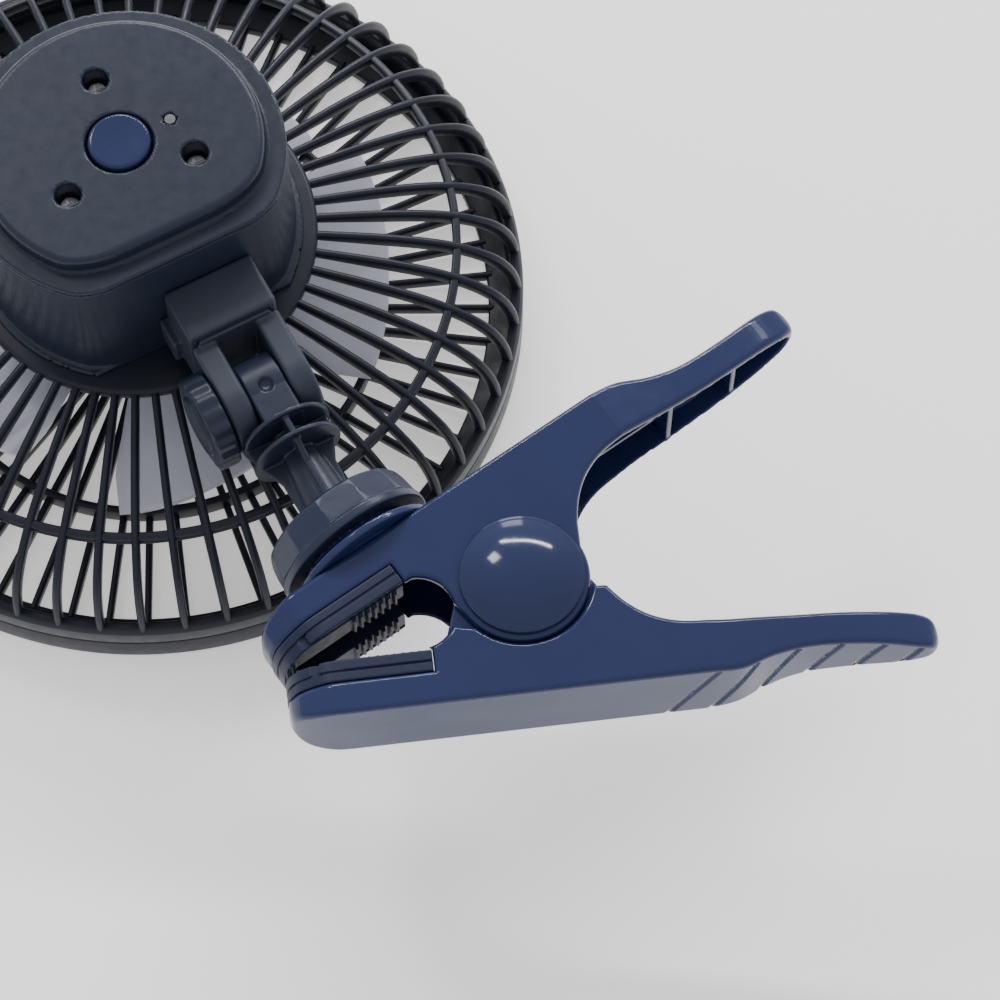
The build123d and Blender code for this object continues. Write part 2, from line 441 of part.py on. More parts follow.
def lever_upper():
    body = lever(False)
    body -= Pos(BX, FACE - 2, 0) * Rot(90, 0, 0) * Cylinder(8.1, 8)            # seat for the ball socket
    for s in (-1, 1):
        body -= Pos(BX + s * 10.6, FACE - 2, 0) * Rot(90, 0, 0) * Cylinder(1.1, 8)
    body += block(-6.3 + 2.2, -4.0 + 2.2, 15.0, FACE - 1.0, -10.2, 10.2)       # cross ribs
    body += block(46.0, 47.4, 13.4, 19.6, -8.0, 8.0) & extrude(Plane.XZ * lever_plan(0.6), 60, both=True)
    body += block(62.0, 63.2, 13.6, 18.6, -6.0, 6.0) & extrude(Plane.XZ * lever_plan(0.6), 60, both=True)
    body += block(24.0, 70.0, 15.8, 19.2, -0.6, 0.6) & extrude(lever_side(False), HALF_W, both=True)
    body -= cyl(3.05, -20, 20)
    return solid_of(body)


def lever_lower():
    body = lever(True)
    # inner ears carry the joint eye; they step inwards beside the upper lever's eyes
    zi0, zi1 = HALF_W - 2.2 - CLR - 2.0, HALF_W - 2.2 - CLR
    ear2d = Circle(12.6) + make_face(Polyline((-12.6, 0.0), (-15.6, 9.4), (-13.8, 14.6), (-6.0, 19.0), (8.0, 19.0), (19.0, 14.0), (19.6, 9.4), (15.4, 4.2), (12.6, 0.0), close=True))
    ear = extrude(ear2d, zi1 - zi0)
    step2d = (make_face(Polyline((-9.2, 9.9), (-13.8, 9.6), (-14.2, 14.4), (-6.0, 18.8), (8.0, 18.8), (19.4, 14.0), (19.4, 9.6), (15.6, 5.2), (14.3, 3.2), close=True)) - Circle(EYE_R + 0.35)) & lever_side(True)
    step = extrude(step2d, HALF_W - 1.0 - zi0)
    for s in (-1, 1):
        z = zi0 if s > 0 else -zi1
        body += Pos(0, 0, z) * ear
        body += Pos(0, 0, zi0 if s > 0 else -(HALF_W - 1.0)) * step
    body += block(46.0, 47.4, 13.4, 19.6, -8.0, 8.0) & extrude(Plane.XZ * lever_plan(0.6), 60, both=True)
    body += block(62.0, 63.2, 13.6, 18.6, -6.0, 6.0) & extrude(Plane.XZ * lever_plan(0.6), 60, both=True)
    body += block(24.0, 70.0, 15.8, 19.2, -0.6, 0.6) & extrude(lever_side(True), HALF_W, both=True)
    body -= cyl(3.05, -20, 20)
    return solid_of(body)


upper = lever_upper()
lower = lever_lower()
save(place(UP, upper), "upper_lever")
save(place(LO, lower), "lower_lever")


def pad():
    """Jaw pad: rims and two rails along its edges, ridged over their inner half, a deep channel between, and a plug into the jaw's hollow."""
    w = HALF_W - 0.2
    plan = extrude(Plane.XZ * lever_plan(0.25), 60, both=True)
    slab = block(TIP_X + 0.2, NOTCH_X - 0.1, PAD_Y + 0.2, SEAM_Y - 0.05, -w, w)
    slab -= block(-44.6, NOTCH_X + 1, 0, 15.2, -4.4, 4.4)
    for s in (-1, 1):
        slab -= block(-44.6, NOTCH_X + 1, 0, 15.2, s * 10.45 - 0.45, s * 10.45 + 0.45)
    for i in range(7):
        x = -30.8 + 1.6 * i
        tooth = extrude(make_face(Polyline((x - 0.55, PAD_Y + 0.4), (x - 0.2, PAD_Y - 0.6), (x + 0.2, PAD_Y - 0.6), (x + 0.55, PAD_Y + 0.4), close=True)), 5.6)
        slab += Pos(0, 0, 4.4) * tooth + Pos(0, 0, -10.0) * tooth
    for i in range(3):
        x = -46.4 + 0.9 * i
        slab += block(x - 0.22, x + 0.22, PAD_Y - 0.05, PAD_Y + 0.3, -w, w)
    slab = slab & plan
    plug = block(-43.8, -33.4, SEAM_Y - 0.1, 20.4, -8.6, 8.6) & extrude(Plane.XZ * lever_plan(WALL + 0.8), 60, both=True)
    return solid_of(slab + plug)


the_pad = pad()
save(place(UP, the_pad), "upper_pad")
save(place(LO, the_pad), "lower_pad")

# ---------------------------------------------------------------- pivot pin, caps, sleeve, spring
pin = cyl(3.0, -HALF_W - 0.9, HALF_W + 0.9)
save(place(UP, pin), "pivot_pin")


def dome(side):
    """Glossy domed cap over the pin's end."""
    c = cyl(CAP_R, 0.0, 1.3)
    ball = Pos(0, 0, 1.2 - 17.2) * Sphere(21.1)
    d = cyl(CAP_R - 0.02, 1.2, 8) & ball
    c = c + d
    c = solid_of(c)
    c = soft(c, c.edges().filter_by(GeomType.CIRCLE).group_by(Axis.Z)[0], (0.4, 0.2))
    c -= cyl(3.0, -1, 0.95)
    return Pos(0, 0, HALF_W + 0.02) * c if side > 0 else Rot(180, 0, 0) * (Pos(0, 0, HALF_W + 0.02) * c)


save(place(UP, dome(1)), "pivot_cap_near")
save(place(UP, dome(-1)), "pivot_cap_far")
save(place(UP, tube(4.2, 3.05, -7.3, 7.3)), "spring_sleeve")

WIRE = 1.0               # wire radius
COIL_R, COIL_P, TURNS = 6.3, 1.9, 5
coils = [Pos(0, 0, (k - (TURNS - 1) / 2) * COIL_P) * Torus(COIL_R, WIRE) for k in range(TURNS)]


def leg(z):
    """Straight leg from the coil into a lever's channel."""
    a, b = Vector(1.5, COIL_R, z), Vector(34.0, 19.9, z)
    d = b - a
    return Plane(origin=(a + b) / 2, z_dir=d).location * Cylinder(WIRE, d.length)


z_end = (TURNS - 1) / 2 * COIL_P
spring = coils[0].fuse(*coils[1:], leg(z_end))
spring = place(UP, spring) + place(LO, leg(z_end))
save(spring, "torsion_spring")
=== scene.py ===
import json
import math
import bmesh
import bpy
import numpy as np
from mathutils import Euler, Matrix, Vector


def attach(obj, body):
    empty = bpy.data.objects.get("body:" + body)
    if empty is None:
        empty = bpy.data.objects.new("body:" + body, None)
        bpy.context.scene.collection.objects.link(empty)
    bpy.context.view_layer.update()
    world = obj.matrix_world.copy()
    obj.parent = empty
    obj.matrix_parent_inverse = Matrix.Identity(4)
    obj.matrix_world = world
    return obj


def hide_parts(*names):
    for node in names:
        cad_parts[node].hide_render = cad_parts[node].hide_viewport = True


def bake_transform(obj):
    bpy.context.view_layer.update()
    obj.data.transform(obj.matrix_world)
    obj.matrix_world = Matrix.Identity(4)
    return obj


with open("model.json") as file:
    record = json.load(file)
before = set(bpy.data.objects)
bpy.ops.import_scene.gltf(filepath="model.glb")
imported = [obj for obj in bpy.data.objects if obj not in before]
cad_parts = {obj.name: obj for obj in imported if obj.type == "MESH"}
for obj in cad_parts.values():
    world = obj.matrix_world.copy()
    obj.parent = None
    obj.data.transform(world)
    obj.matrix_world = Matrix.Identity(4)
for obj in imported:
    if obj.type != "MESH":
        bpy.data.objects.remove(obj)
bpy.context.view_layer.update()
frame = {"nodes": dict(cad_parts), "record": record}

# ================================================================ places and sizes, as in the CAD model (mm)
R_RIM, Z_SEAM, Z_BAND = 80.5, 7.4, 13.0
R_MID, Z_MID = 66.5, 31.0
R_HUBRING, Z_HUB = 37.5, 37.0
N_SPOKES, SPOKE_T = 57, 1.7
R_DRUM, Z_DRUM, D_FLAT, DRUM_WALL = 33.0, 69.0, 26.6, 2.2
Z_COVER, R_SCREW = 74.0, 15.3
N_BLADES, R_BLADE = 5, 52.0
AZ_NECK, AZ_UP, AZ_LO, V_OFF = -61.4, 36.2, 7.0, 4.5
U_HINGE, Z_AXIS, ARM_R, ARM_IN, ARM_OUT, Z_CAP = 51.0, 47.0, 8.6, 4.35, 9.6, 58.7
U_BALL, BALL_R = 85.5, 8.0
PIVOT = (79.7, -87.0)
HALF_W, FACE, SEAM_Y, PAD_Y = 12.0, 23.6, 17.1, 12.5
NOTCH_X, TIP_X, EYE_R, WALL, CAP_R, RECESS_R = -18.8, -47.6, 13.2, 2.2, 12.1, 7.4
BX, BY = -19.779, 31.933


def rad(a):
    return math.radians(a)


def frame_of(ox, oy, oz, az, flip=False):
    """4x4 of a local frame in mm: x along az in plan, z up, or down when flipped."""
    c, s = math.cos(rad(az)), math.sin(rad(az))
    m = np.eye(4)
    m[:3, 0] = (c, s, 0)
    m[:3, 1] = (s, -c, 0) if flip else (-s, c, 0)
    m[:3, 2] = (0, 0, -1) if flip else (0, 0, 1)
    m[:3, 3] = (ox, oy, oz)
    return m


WORLD = np.eye(4)
DRUM = frame_of(0, 0, 0, AZ_NECK)
NECK = frame_of(-V_OFF * math.sin(rad(AZ_NECK)), V_OFF * math.cos(rad(AZ_NECK)), 0, AZ_NECK)
UP = frame_of(PIVOT[0], PIVOT[1], Z_AXIS, AZ_UP)
LO = frame_of(PIVOT[0], PIVOT[1], Z_AXIS, AZ_LO, True)


# ================================================================ materials
def node(nt, kind, at, **values):
    n = nt.nodes.new(kind)
    n.location = at
    for k, v in values.items():
        if k in n.inputs:
            n.inputs[k].default_value = v
        else:
            setattr(n, k, v)
    return n


def ramp(nt, source, at, stops):
    r = nt.nodes.new("ShaderNodeValToRGB")
    r.location = at
    e = r.color_ramp.elements
    while len(e) < len(stops):
        e.new(0.5)
    for i, (p, c) in enumerate(stops):
        e[i].position = p
        e[i].color = (*c[:3], 1)
    nt.links.new(source, r.inputs["Fac"])
    return r


def mixed(c, k):
    return tuple(max(0.0, min(1.0, x * k)) for x in c)


def moulded(name, colour, rough=0.35, rough_var=0.06, grain=260.0, grain_h=0.02, wave=12.0, wave_h=0.0, vary=0.10, coat=0.0,
            coat_rough=0.1, spec=0.5, ior=1.5, edge=0.25, transmission=0.0, sss=0.0, dust=0.0, scratches=0.0, metallic=0.0):
    """Moulded plastic: slow colour drift, fine grain, a painted highlight that lightens convex edges, faint scratches
    and dust.
    """
    m = bpy.data.materials.new(name)
    m.use_nodes = True
    nt = m.node_tree
    nt.nodes.clear()
    out = node(nt, "ShaderNodeOutputMaterial", (900, 0))
    sh = node(nt, "ShaderNodeBsdfPrincipled", (600, 0))
    nt.links.new(sh.outputs[0], out.inputs["Surface"])
    tc = node(nt, "ShaderNodeTexCoord", (-1100, 0))
    mp = node(nt, "ShaderNodeMapping", (-900, 0))
    mp.inputs["Scale"].default_value = (1000, 1000, 1000)
    nt.links.new(tc.outputs["Object"], mp.inputs["Vector"])
    co = mp.outputs["Vector"]
    drift = node(nt, "ShaderNodeTexNoise", (-700, 300), Scale=0.06, Detail=3.0, Roughness=0.55)
    nt.links.new(co, drift.inputs["Vector"])
    base = ramp(nt, drift.outputs["Fac"], (-500, 300), [(0.3, mixed(colour, 1 - vary)), (0.7, mixed(colour, 1 + vary))])
    colour_out = base.outputs["Color"]
    # painted highlight: convex edges (by pointiness) are mixed toward a lighter copy of the colour, so edges look lit
    if edge:
        geo = node(nt, "ShaderNodeNewGeometry", (-700, 560))
        highlight_mask = node(nt, "ShaderNodeMapRange", (-500, 560))
        highlight_mask.inputs["From Min"].default_value = 0.505
        highlight_mask.inputs["From Max"].default_value = 0.58
        highlight_mask.inputs["To Max"].default_value = edge
        nt.links.new(geo.outputs["Pointiness"], highlight_mask.inputs["Value"])
        edge_highlight_mix = node(nt, "ShaderNodeMix", (-200, 400), data_type="RGBA")
        nt.links.new(highlight_mask.outputs["Result"], edge_highlight_mix.inputs[0])
        nt.links.new(colour_out, edge_highlight_mix.inputs[6])
        painted_highlight_ramp = ramp(nt, drift.outputs["Fac"], (-500, 120), [(0.3, mixed(colour, 1.5)), (0.7, mixed(colour, 1.9))])
        nt.links.new(painted_highlight_ramp.outputs["Color"], edge_highlight_mix.inputs[7])
        colour_out = edge_highlight_mix.outputs[2]
    if dust:
        dn = node(nt, "ShaderNodeTexNoise", (-700, 760), Scale=2.2, Detail=8.0, Roughness=0.8)
        nt.links.new(co, dn.inputs["Vector"])
        dr = node(nt, "ShaderNodeMapRange", (-500, 760))
        dr.inputs["From Min"].default_value = 0.66
        dr.inputs["From Max"].default_value = 0.78
        dr.inputs["To Max"].default_value = dust
        nt.links.new(dn.outputs["Fac"], dr.inputs["Value"])
        dm = node(nt, "ShaderNodeMix", (0, 500), data_type="RGBA")
        nt.links.new(dr.outputs["Result"], dm.inputs[0])
        nt.links.new(colour_out, dm.inputs[6])
        dm.inputs[7].default_value = (0.5, 0.5, 0.5, 1)
        colour_out = dm.outputs[2]
    nt.links.new(colour_out, sh.inputs["Base Color"])
    rn = node(nt, "ShaderNodeTexNoise", (-700, -50), Scale=0.35, Detail=5.0, Roughness=0.6)
    nt.links.new(co, rn.inputs["Vector"])
    rr = node(nt, "ShaderNodeMapRange", (-200, -50))
    rr.inputs["From Min"].default_value = 0.3
    rr.inputs["From Max"].default_value = 0.7
    rr.inputs["To Min"].default_value = max(0.02, rough - rough_var)
    rr.inputs["To Max"].default_value = rough + rough_var
    nt.links.new(rn.outputs["Fac"], rr.inputs["Value"])
    nt.links.new(rr.outputs["Result"], sh.inputs["Roughness"])
    gn = node(nt, "ShaderNodeTexNoise", (-700, -300), Scale=grain / 100.0, Detail=4.0, Roughness=0.6)
    nt.links.new(co, gn.inputs["Vector"])
    bump = node(nt, "ShaderNodeBump", (200, -300))
    bump.inputs["Strength"].default_value = 0.6
    bump.inputs["Distance"].default_value = grain_h * 0.001
    nt.links.new(gn.outputs["Fac"], bump.inputs["Height"])
    last = bump
    if wave_h:
        wn = node(nt, "ShaderNodeTexNoise", (-700, -520), Scale=wave / 100.0, Detail=1.0, Roughness=0.4)
        nt.links.new(co, wn.inputs["Vector"])
        wb = node(nt, "ShaderNodeBump", (0, -520))
        wb.inputs["Strength"].default_value = 1.0
        wb.inputs["Distance"].default_value = wave_h * 0.001
        nt.links.new(wn.outputs["Fac"], wb.inputs["Height"])
        nt.links.new(wb.outputs["Normal"], bump.inputs["Normal"])
    if scratches:
        sm = node(nt, "ShaderNodeMapping", (-900, -760))
        sm.inputs["Scale"].default_value = (220, 2400, 2400)
        sm.inputs["Rotation"].default_value = (0.3, 0.5, 0.7)
        nt.links.new(tc.outputs["Object"], sm.inputs["Vector"])
        sn = node(nt, "ShaderNodeTexNoise", (-700, -760), Scale=0.9, Detail=6.0, Roughness=0.75)
        nt.links.new(sm.outputs["Vector"], sn.inputs["Vector"])
        sb = node(nt, "ShaderNodeBump", (400, -520))
        sb.inputs["Strength"].default_value = scratches
        sb.inputs["Distance"].default_value = 0.00001
        nt.links.new(sn.outputs["Fac"], sb.inputs["Height"])
        nt.links.new(last.outputs["Normal"], sb.inputs["Normal"])
        last = sb
    nt.links.new(last.outputs["Normal"], sh.inputs["Normal"])
    sh.inputs["IOR"].default_value = ior
    sh.inputs["Specular IOR Level"].default_value = spec
    sh.inputs["Coat Weight"].default_value = coat
    sh.inputs["Coat Roughness"].default_value = coat_rough
    sh.inputs["Metallic"].default_value = metallic
    sh.inputs["Transmission Weight"].default_value = transmission
    if sss:
        sh.inputs["Subsurface Weight"].default_value = sss
        sh.inputs["Subsurface Radius"].default_value = (1.0, 0.9, 1.1)
        sh.inputs["Subsurface Scale"].default_value = 0.002
    return m


# edge sets the strength of the painted edge highlight in each material
M = {
    "clip": moulded("clip_gloss_plastic", (0.0150, 0.0235, 0.080), rough=0.14, rough_var=0.03, grain=90, grain_h=0.006, wave=7, wave_h=0.20,
                    vary=0.06, edge=0.10, dust=0.02, scratches=0.06, spec=0.5, ior=1.37),
    "cap": moulded("cap_gloss_plastic", (0.0140, 0.0220, 0.072), rough=0.11, rough_var=0.02, grain=80, grain_h=0.005, wave=14, wave_h=0.07,
                   vary=0.06, edge=0.10, scratches=0.05, ior=1.38),
    "housing": moulded("fan_body_plastic", (0.0150, 0.0195, 0.036), rough=0.33, rough_var=0.05, grain=240, grain_h=0.022, wave=10, wave_h=0.05,
                       vary=0.07, edge=0.14, dust=0.03, scratches=0.05, ior=1.34),
    "bracket": moulded("bracket_plastic", (0.0230, 0.0290, 0.049), rough=0.50, rough_var=0.06, grain=300, grain_h=0.03, vary=0.10, edge=0.2, dust=0.06,
                       scratches=0.06, ior=1.42),
    "grille": moulded("guard_plastic", (0.0100, 0.0125, 0.022), rough=0.36, rough_var=0.06, grain=200, grain_h=0.02, wave=14, wave_h=0.05, vary=0.12,
                      edge=0.12, dust=0.04, ior=1.34),
    "neck": moulded("neck_plastic", (0.0155, 0.0205, 0.040), rough=0.36, grain=260, grain_h=0.02, vary=0.08, edge=0.18, dust=0.03, scratches=0.04, ior=1.36),
    "collar": moulded("collar_plastic", (0.0150, 0.0215, 0.048), rough=0.33, grain=220, grain_h=0.018, vary=0.07, edge=0.18, dust=0.03, ior=1.38),
    "pad": moulded("jaw_rubber", (0.0090, 0.0135, 0.040), rough=0.42, rough_var=0.07, grain=420, grain_h=0.04, vary=0.10, edge=0.14, dust=0.06, ior=1.36),
    "blade": moulded("blade_frosted", (0.78, 0.79, 0.90), rough=0.42, grain=320, grain_h=0.02, vary=0.03, edge=0.0, sss=0.25, dust=0.0),
    "black": moulded("inner_black_plastic", (0.012, 0.012, 0.015), rough=0.5, grain=300, grain_h=0.03, vary=0.15, edge=0.2),
    "battery": moulded("battery_film", (0.03, 0.13, 0.30), rough=0.28, grain=60, grain_h=0.02, wave=18, wave_h=0.25, vary=0.06, edge=0.1),
    "board": moulded("board_mask", (0.006, 0.06, 0.025), rough=0.3, grain=500, grain_h=0.02, vary=0.12, edge=0.2),
    "clear": moulded("clear_plastic", (0.88, 0.92, 0.95), rough=0.12, grain=60, grain_h=0.004, vary=0.02, edge=0.0, transmission=0.85),
    "nylon": moulded("natural_nylon", (0.80, 0.79, 0.72), rough=0.42, grain=260, grain_h=0.02, vary=0.05, edge=0.0, sss=0.15),
    "steel": moulded("zinc_steel", (0.60, 0.60, 0.62), rough=0.27, rough_var=0.08, grain=500, grain_h=0.01, vary=0.10, edge=0.3, metallic=1.0, scratches=0.5),
    "zinc": moulded("motor_can_steel", (0.52, 0.53, 0.55), rough=0.35, rough_var=0.1, grain=60, grain_h=0.006, vary=0.14, edge=0.2, metallic=1.0, scratches=0.3),
    "iron": moulded("lamination_iron", (0.20, 0.19, 0.19), rough=0.5, rough_var=0.1, grain=400, grain_h=0.03, vary=0.2, edge=0.3, metallic=1.0),
}

SLOT_LOOK = {"grille": "grille", "housing": "housing", "clip_gloss": "clip", "cap_gloss": "cap", "collar": "collar", "pad_rubber": "pad", "blade": "blade",
             "steel": "steel", "zinc": "zinc", "iron": "iron", "black_plastic": "black", "battery": "battery", "board": "board", "clear": "clear", "nylon": "nylon"}
for sub in frame["record"]["subparts"]:
    o = frame["nodes"][sub["node"]]
    o.data.materials.clear()
    o.data.materials.append(M[SLOT_LOOK[sub["material_slot"]]])


# ================================================================ mesh helpers
def to_row(V, m):
    V = np.asarray(V, float)
    return (V @ m[:3, :3].T + m[:3, 3]) * 0.001


def add_piece(name, V, faces, mat, body, stands_for=(), m=WORLD, normals=None, sharp=None, smooth=True):
    """A mesh piece from points in a local frame in mm. faces: an (n,4) array or a list of tuples."""
    me = bpy.data.meshes.new(name)
    P = to_row(V, m)
    if isinstance(faces, np.ndarray):
        me.vertices.add(len(P))
        me.vertices.foreach_set("co", P.ravel())
        me.loops.add(faces.size)
        me.loops.foreach_set("vertex_index", faces.ravel().astype(np.int32))
        me.polygons.add(len(faces))
        me.polygons.foreach_set("loop_start", np.arange(0, faces.size, faces.shape[1], dtype=np.int32))
        me.update(calc_edges=True)
    else:
        me.from_pydata([tuple(p) for p in P], [], faces)
        me.update()
    me.validate()
    me.polygons.foreach_set("use_smooth", [smooth] * len(me.polygons))
    me.materials.append(M[mat] if isinstance(mat, str) else mat)
    if normals is not None and len(normals) == len(me.vertices):
        me.normals_split_custom_set_from_vertices((np.asarray(normals) @ m[:3, :3].T).tolist())
    elif sharp:
        me.set_sharp_from_angle(angle=rad(sharp))
    o = bpy.data.objects.new(name, me)
    bpy.context.scene.collection.objects.link(o)
    if body:
        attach(o, body)
    if stands_for:
        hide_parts(*stands_for)
    return o


def join_parts(parts):
    """[(V, faces)] with faces as lists of tuples, to one."""
    V, F, n = [], [], 0
    for v, f in parts:
        V.append(np.asarray(v, float))
        F += [tuple(int(i) + n for i in q) for q in f]
        n += len(v)
    return np.concatenate(V), F


def catmull(points, n=6):
    P = [points[0]] + list(points) + [points[-1]]
    out = []
    for i in range(1, len(P) - 2):
        p0, p1, p2, p3 = (np.array(P[i + k], float) for k in (-1, 0, 1, 2))
        for k in range(n):
            t = k / n
            out.append(0.5 * (2 * p1 + (p2 - p0) * t + (2 * p0 - 5 * p1 + 4 * p2 - p3) * t * t + (-p0 + 3 * p1 - 3 * p2 + p3) * t ** 3))
    out.append(np.array(points[-1], float))
    return np.array(out)


def arc_pts(c, r, a0, a1, n=12):
    a = np.radians(np.linspace(a0, a1, n + 1))
    return np.c_[c[0] + r * np.cos(a), c[1] + r * np.sin(a)]


def rounded(points, r, n=4):
    """Closed outline with its corners rounded; r a number or one per corner."""
    P = [np.array(p, float) for p in points]
    out = []
    k = len(P)
    for i in range(k):
        ri = r[i] if isinstance(r, (list, tuple)) else r
        a, b, c = P[i - 1], P[i], P[(i + 1) % k]
        u, v = a - b, c - b
        lu, lv = np.linalg.norm(u), np.linalg.norm(v)
        if ri <= 0 or lu < 1e-9 or lv < 1e-9:
            out.append(b)
            continue
        u, v = u / lu, v / lv
        ang = math.acos(max(-1, min(1, float(u @ v))))
        if ang > math.pi - 0.05:
            out.append(b)
            continue
        d = min(ri / math.tan(ang / 2), 0.45 * lu, 0.45 * lv)
        rr = d * math.tan(ang / 2)
        mid = (u + v) / np.linalg.norm(u + v)
        c0 = b + mid * (rr / math.sin(ang / 2))
        s, e = b + u * d - c0, b + v * d - c0
        a0, a1 = math.atan2(s[1], s[0]), math.atan2(e[1], e[0])
        da = (a1 - a0 + math.pi) % (2 * math.pi) - math.pi
        for j in range(n + 1):
            t = a0 + da * j / n
            out.append(c0 + rr * np.array((math.cos(t), math.sin(t))))
    return np.array(out)


def lathe(outline, n=96, a0=0.0, a1=360.0):
    """Closed (r, z) outline turned about Z. Points at r 0 stay single rings of coincident points merged later."""
    full = abs(a1 - a0 - 360) < 1e-6
    k = n if full else n + 1
    ang = np.radians(a0 + (a1 - a0) * np.arange(k) / n)
    O = np.asarray(outline, float)
    m = len(O)
    V = np.stack([np.outer(np.cos(ang), O[:, 0]), np.outer(np.sin(ang), O[:, 0]), np.tile(O[:, 1], (k, 1))], axis=2).reshape(-1, 3)
    F = []
    for i in range(n):
        i2 = (i + 1) % k
        for j in range(m):
            j2 = (j + 1) % m
            if O[j, 0] < 1e-6 and O[j2, 0] < 1e-6:
                continue
            F.append((i * m + j, i2 * m + j, i2 * m + j2, i * m + j2))
    return V, F


def merged(o, dist=0.00001):
    bm = bmesh.new()
    bm.from_mesh(o.data)
    bmesh.ops.remove_doubles(bm, verts=bm.verts, dist=dist)
    bmesh.ops.recalc_face_normals(bm, faces=bm.faces)
    bm.to_mesh(o.data)
    bm.free()
    o.data.update()
    return o


def tube_along(path, radius, n=12, closed=False, cap=True):
    """Round wire along a path of points."""
    P = np.asarray(path, float)
    k = len(P)
    T = np.gradient(P, axis=0)
    T /= np.linalg.norm(T, axis=1)[:, None]
    up = np.array((0.0, 0.0, 1.0)) if abs(T[0][2]) < 0.9 else np.array((1.0, 0.0, 0.0))
    x = np.cross(up, T[0])
    x /= np.linalg.norm(x)
    V = []
    for i in range(k):
        x = x - T[i] * (x @ T[i])
        x /= np.linalg.norm(x)
        y = np.cross(T[i], x)
        for j in range(n):
            a = 2 * math.pi * j / n
            V.append(P[i] + radius * (math.cos(a) * x + math.sin(a) * y))
    F = [(i * n + j, i * n + (j + 1) % n, (i + 1) * n + (j + 1) % n, (i + 1) * n + j) for i in range(k - 1) for j in range(n)]
    if cap:
        F.append(tuple(range(n - 1, -1, -1)))
        F.append(tuple((k - 1) * n + j for j in range(n)))
    return np.array(V), F


# ================================================================ implicit shapes: distances in mm, negative inside
def d_poly(x, y, P):
    """Signed distance to a closed polygon."""
    x, y = np.broadcast_arrays(np.asarray(x, float), np.asarray(y, float))
    P = np.asarray(P, float)
    best = np.full(x.shape, 1e18)
    inside = np.zeros(x.shape, bool)
    for i in range(len(P)):
        a, b = P[i - 1], P[i]
        e = b - a
        l2 = float(e @ e)
        if l2 < 1e-12:
            continue
        px, py = x - a[0], y - a[1]
        t = np.clip((px * e[0] + py * e[1]) / l2, 0, 1)
        best = np.minimum(best, (px - t * e[0]) ** 2 + (py - t * e[1]) ** 2)
        c = (a[1] > y) != (b[1] > y)
        if abs(e[1]) > 1e-12:
            inside ^= c & (x < e[0] * (y - a[1]) / e[1] + a[0])
    return np.where(inside, -1, 1) * np.sqrt(best)


def r_and(a, b, r):
    """Rounded intersection."""
    return np.minimum(np.maximum(a + r, b + r), 0) + np.hypot(np.maximum(a + r, 0), np.maximum(b + r, 0)) - r


def r_or(a, b, r):
    """Union with a fillet."""
    return -r_and(-a, -b, r)


def r_cut(a, b, r):
    return r_and(a, -b, r)


def d_box(x, y, z, c, h, r=0.0):
    qx, qy, qz = np.abs(x - c[0]) - h[0] + r, np.abs(y - c[1]) - h[1] + r, np.abs(z - c[2]) - h[2] + r
    return np.sqrt(np.maximum(qx, 0) ** 2 + np.maximum(qy, 0) ** 2 + np.maximum(qz, 0) ** 2) + np.minimum(np.maximum(qx, np.maximum(qy, qz)), 0) - r


def d_block(x, y, z, x0, x1, y0, y1, z0, z1, r=0.0):
    return d_box(x, y, z, ((x0 + x1) / 2, (y0 + y1) / 2, (z0 + z1) / 2), ((x1 - x0) / 2, (y1 - y0) / 2, (z1 - z0) / 2), r)


def d_rod(a, b, t, t0, t1, rr, r=0.0):
    """Cylinder of radius rr about the axis where a and b are 0, from t0 to t1, with rounded rims."""
    return r_and(np.hypot(a, b) - rr, np.abs(t - (t0 + t1) / 2) - (t1 - t0) / 2, r)


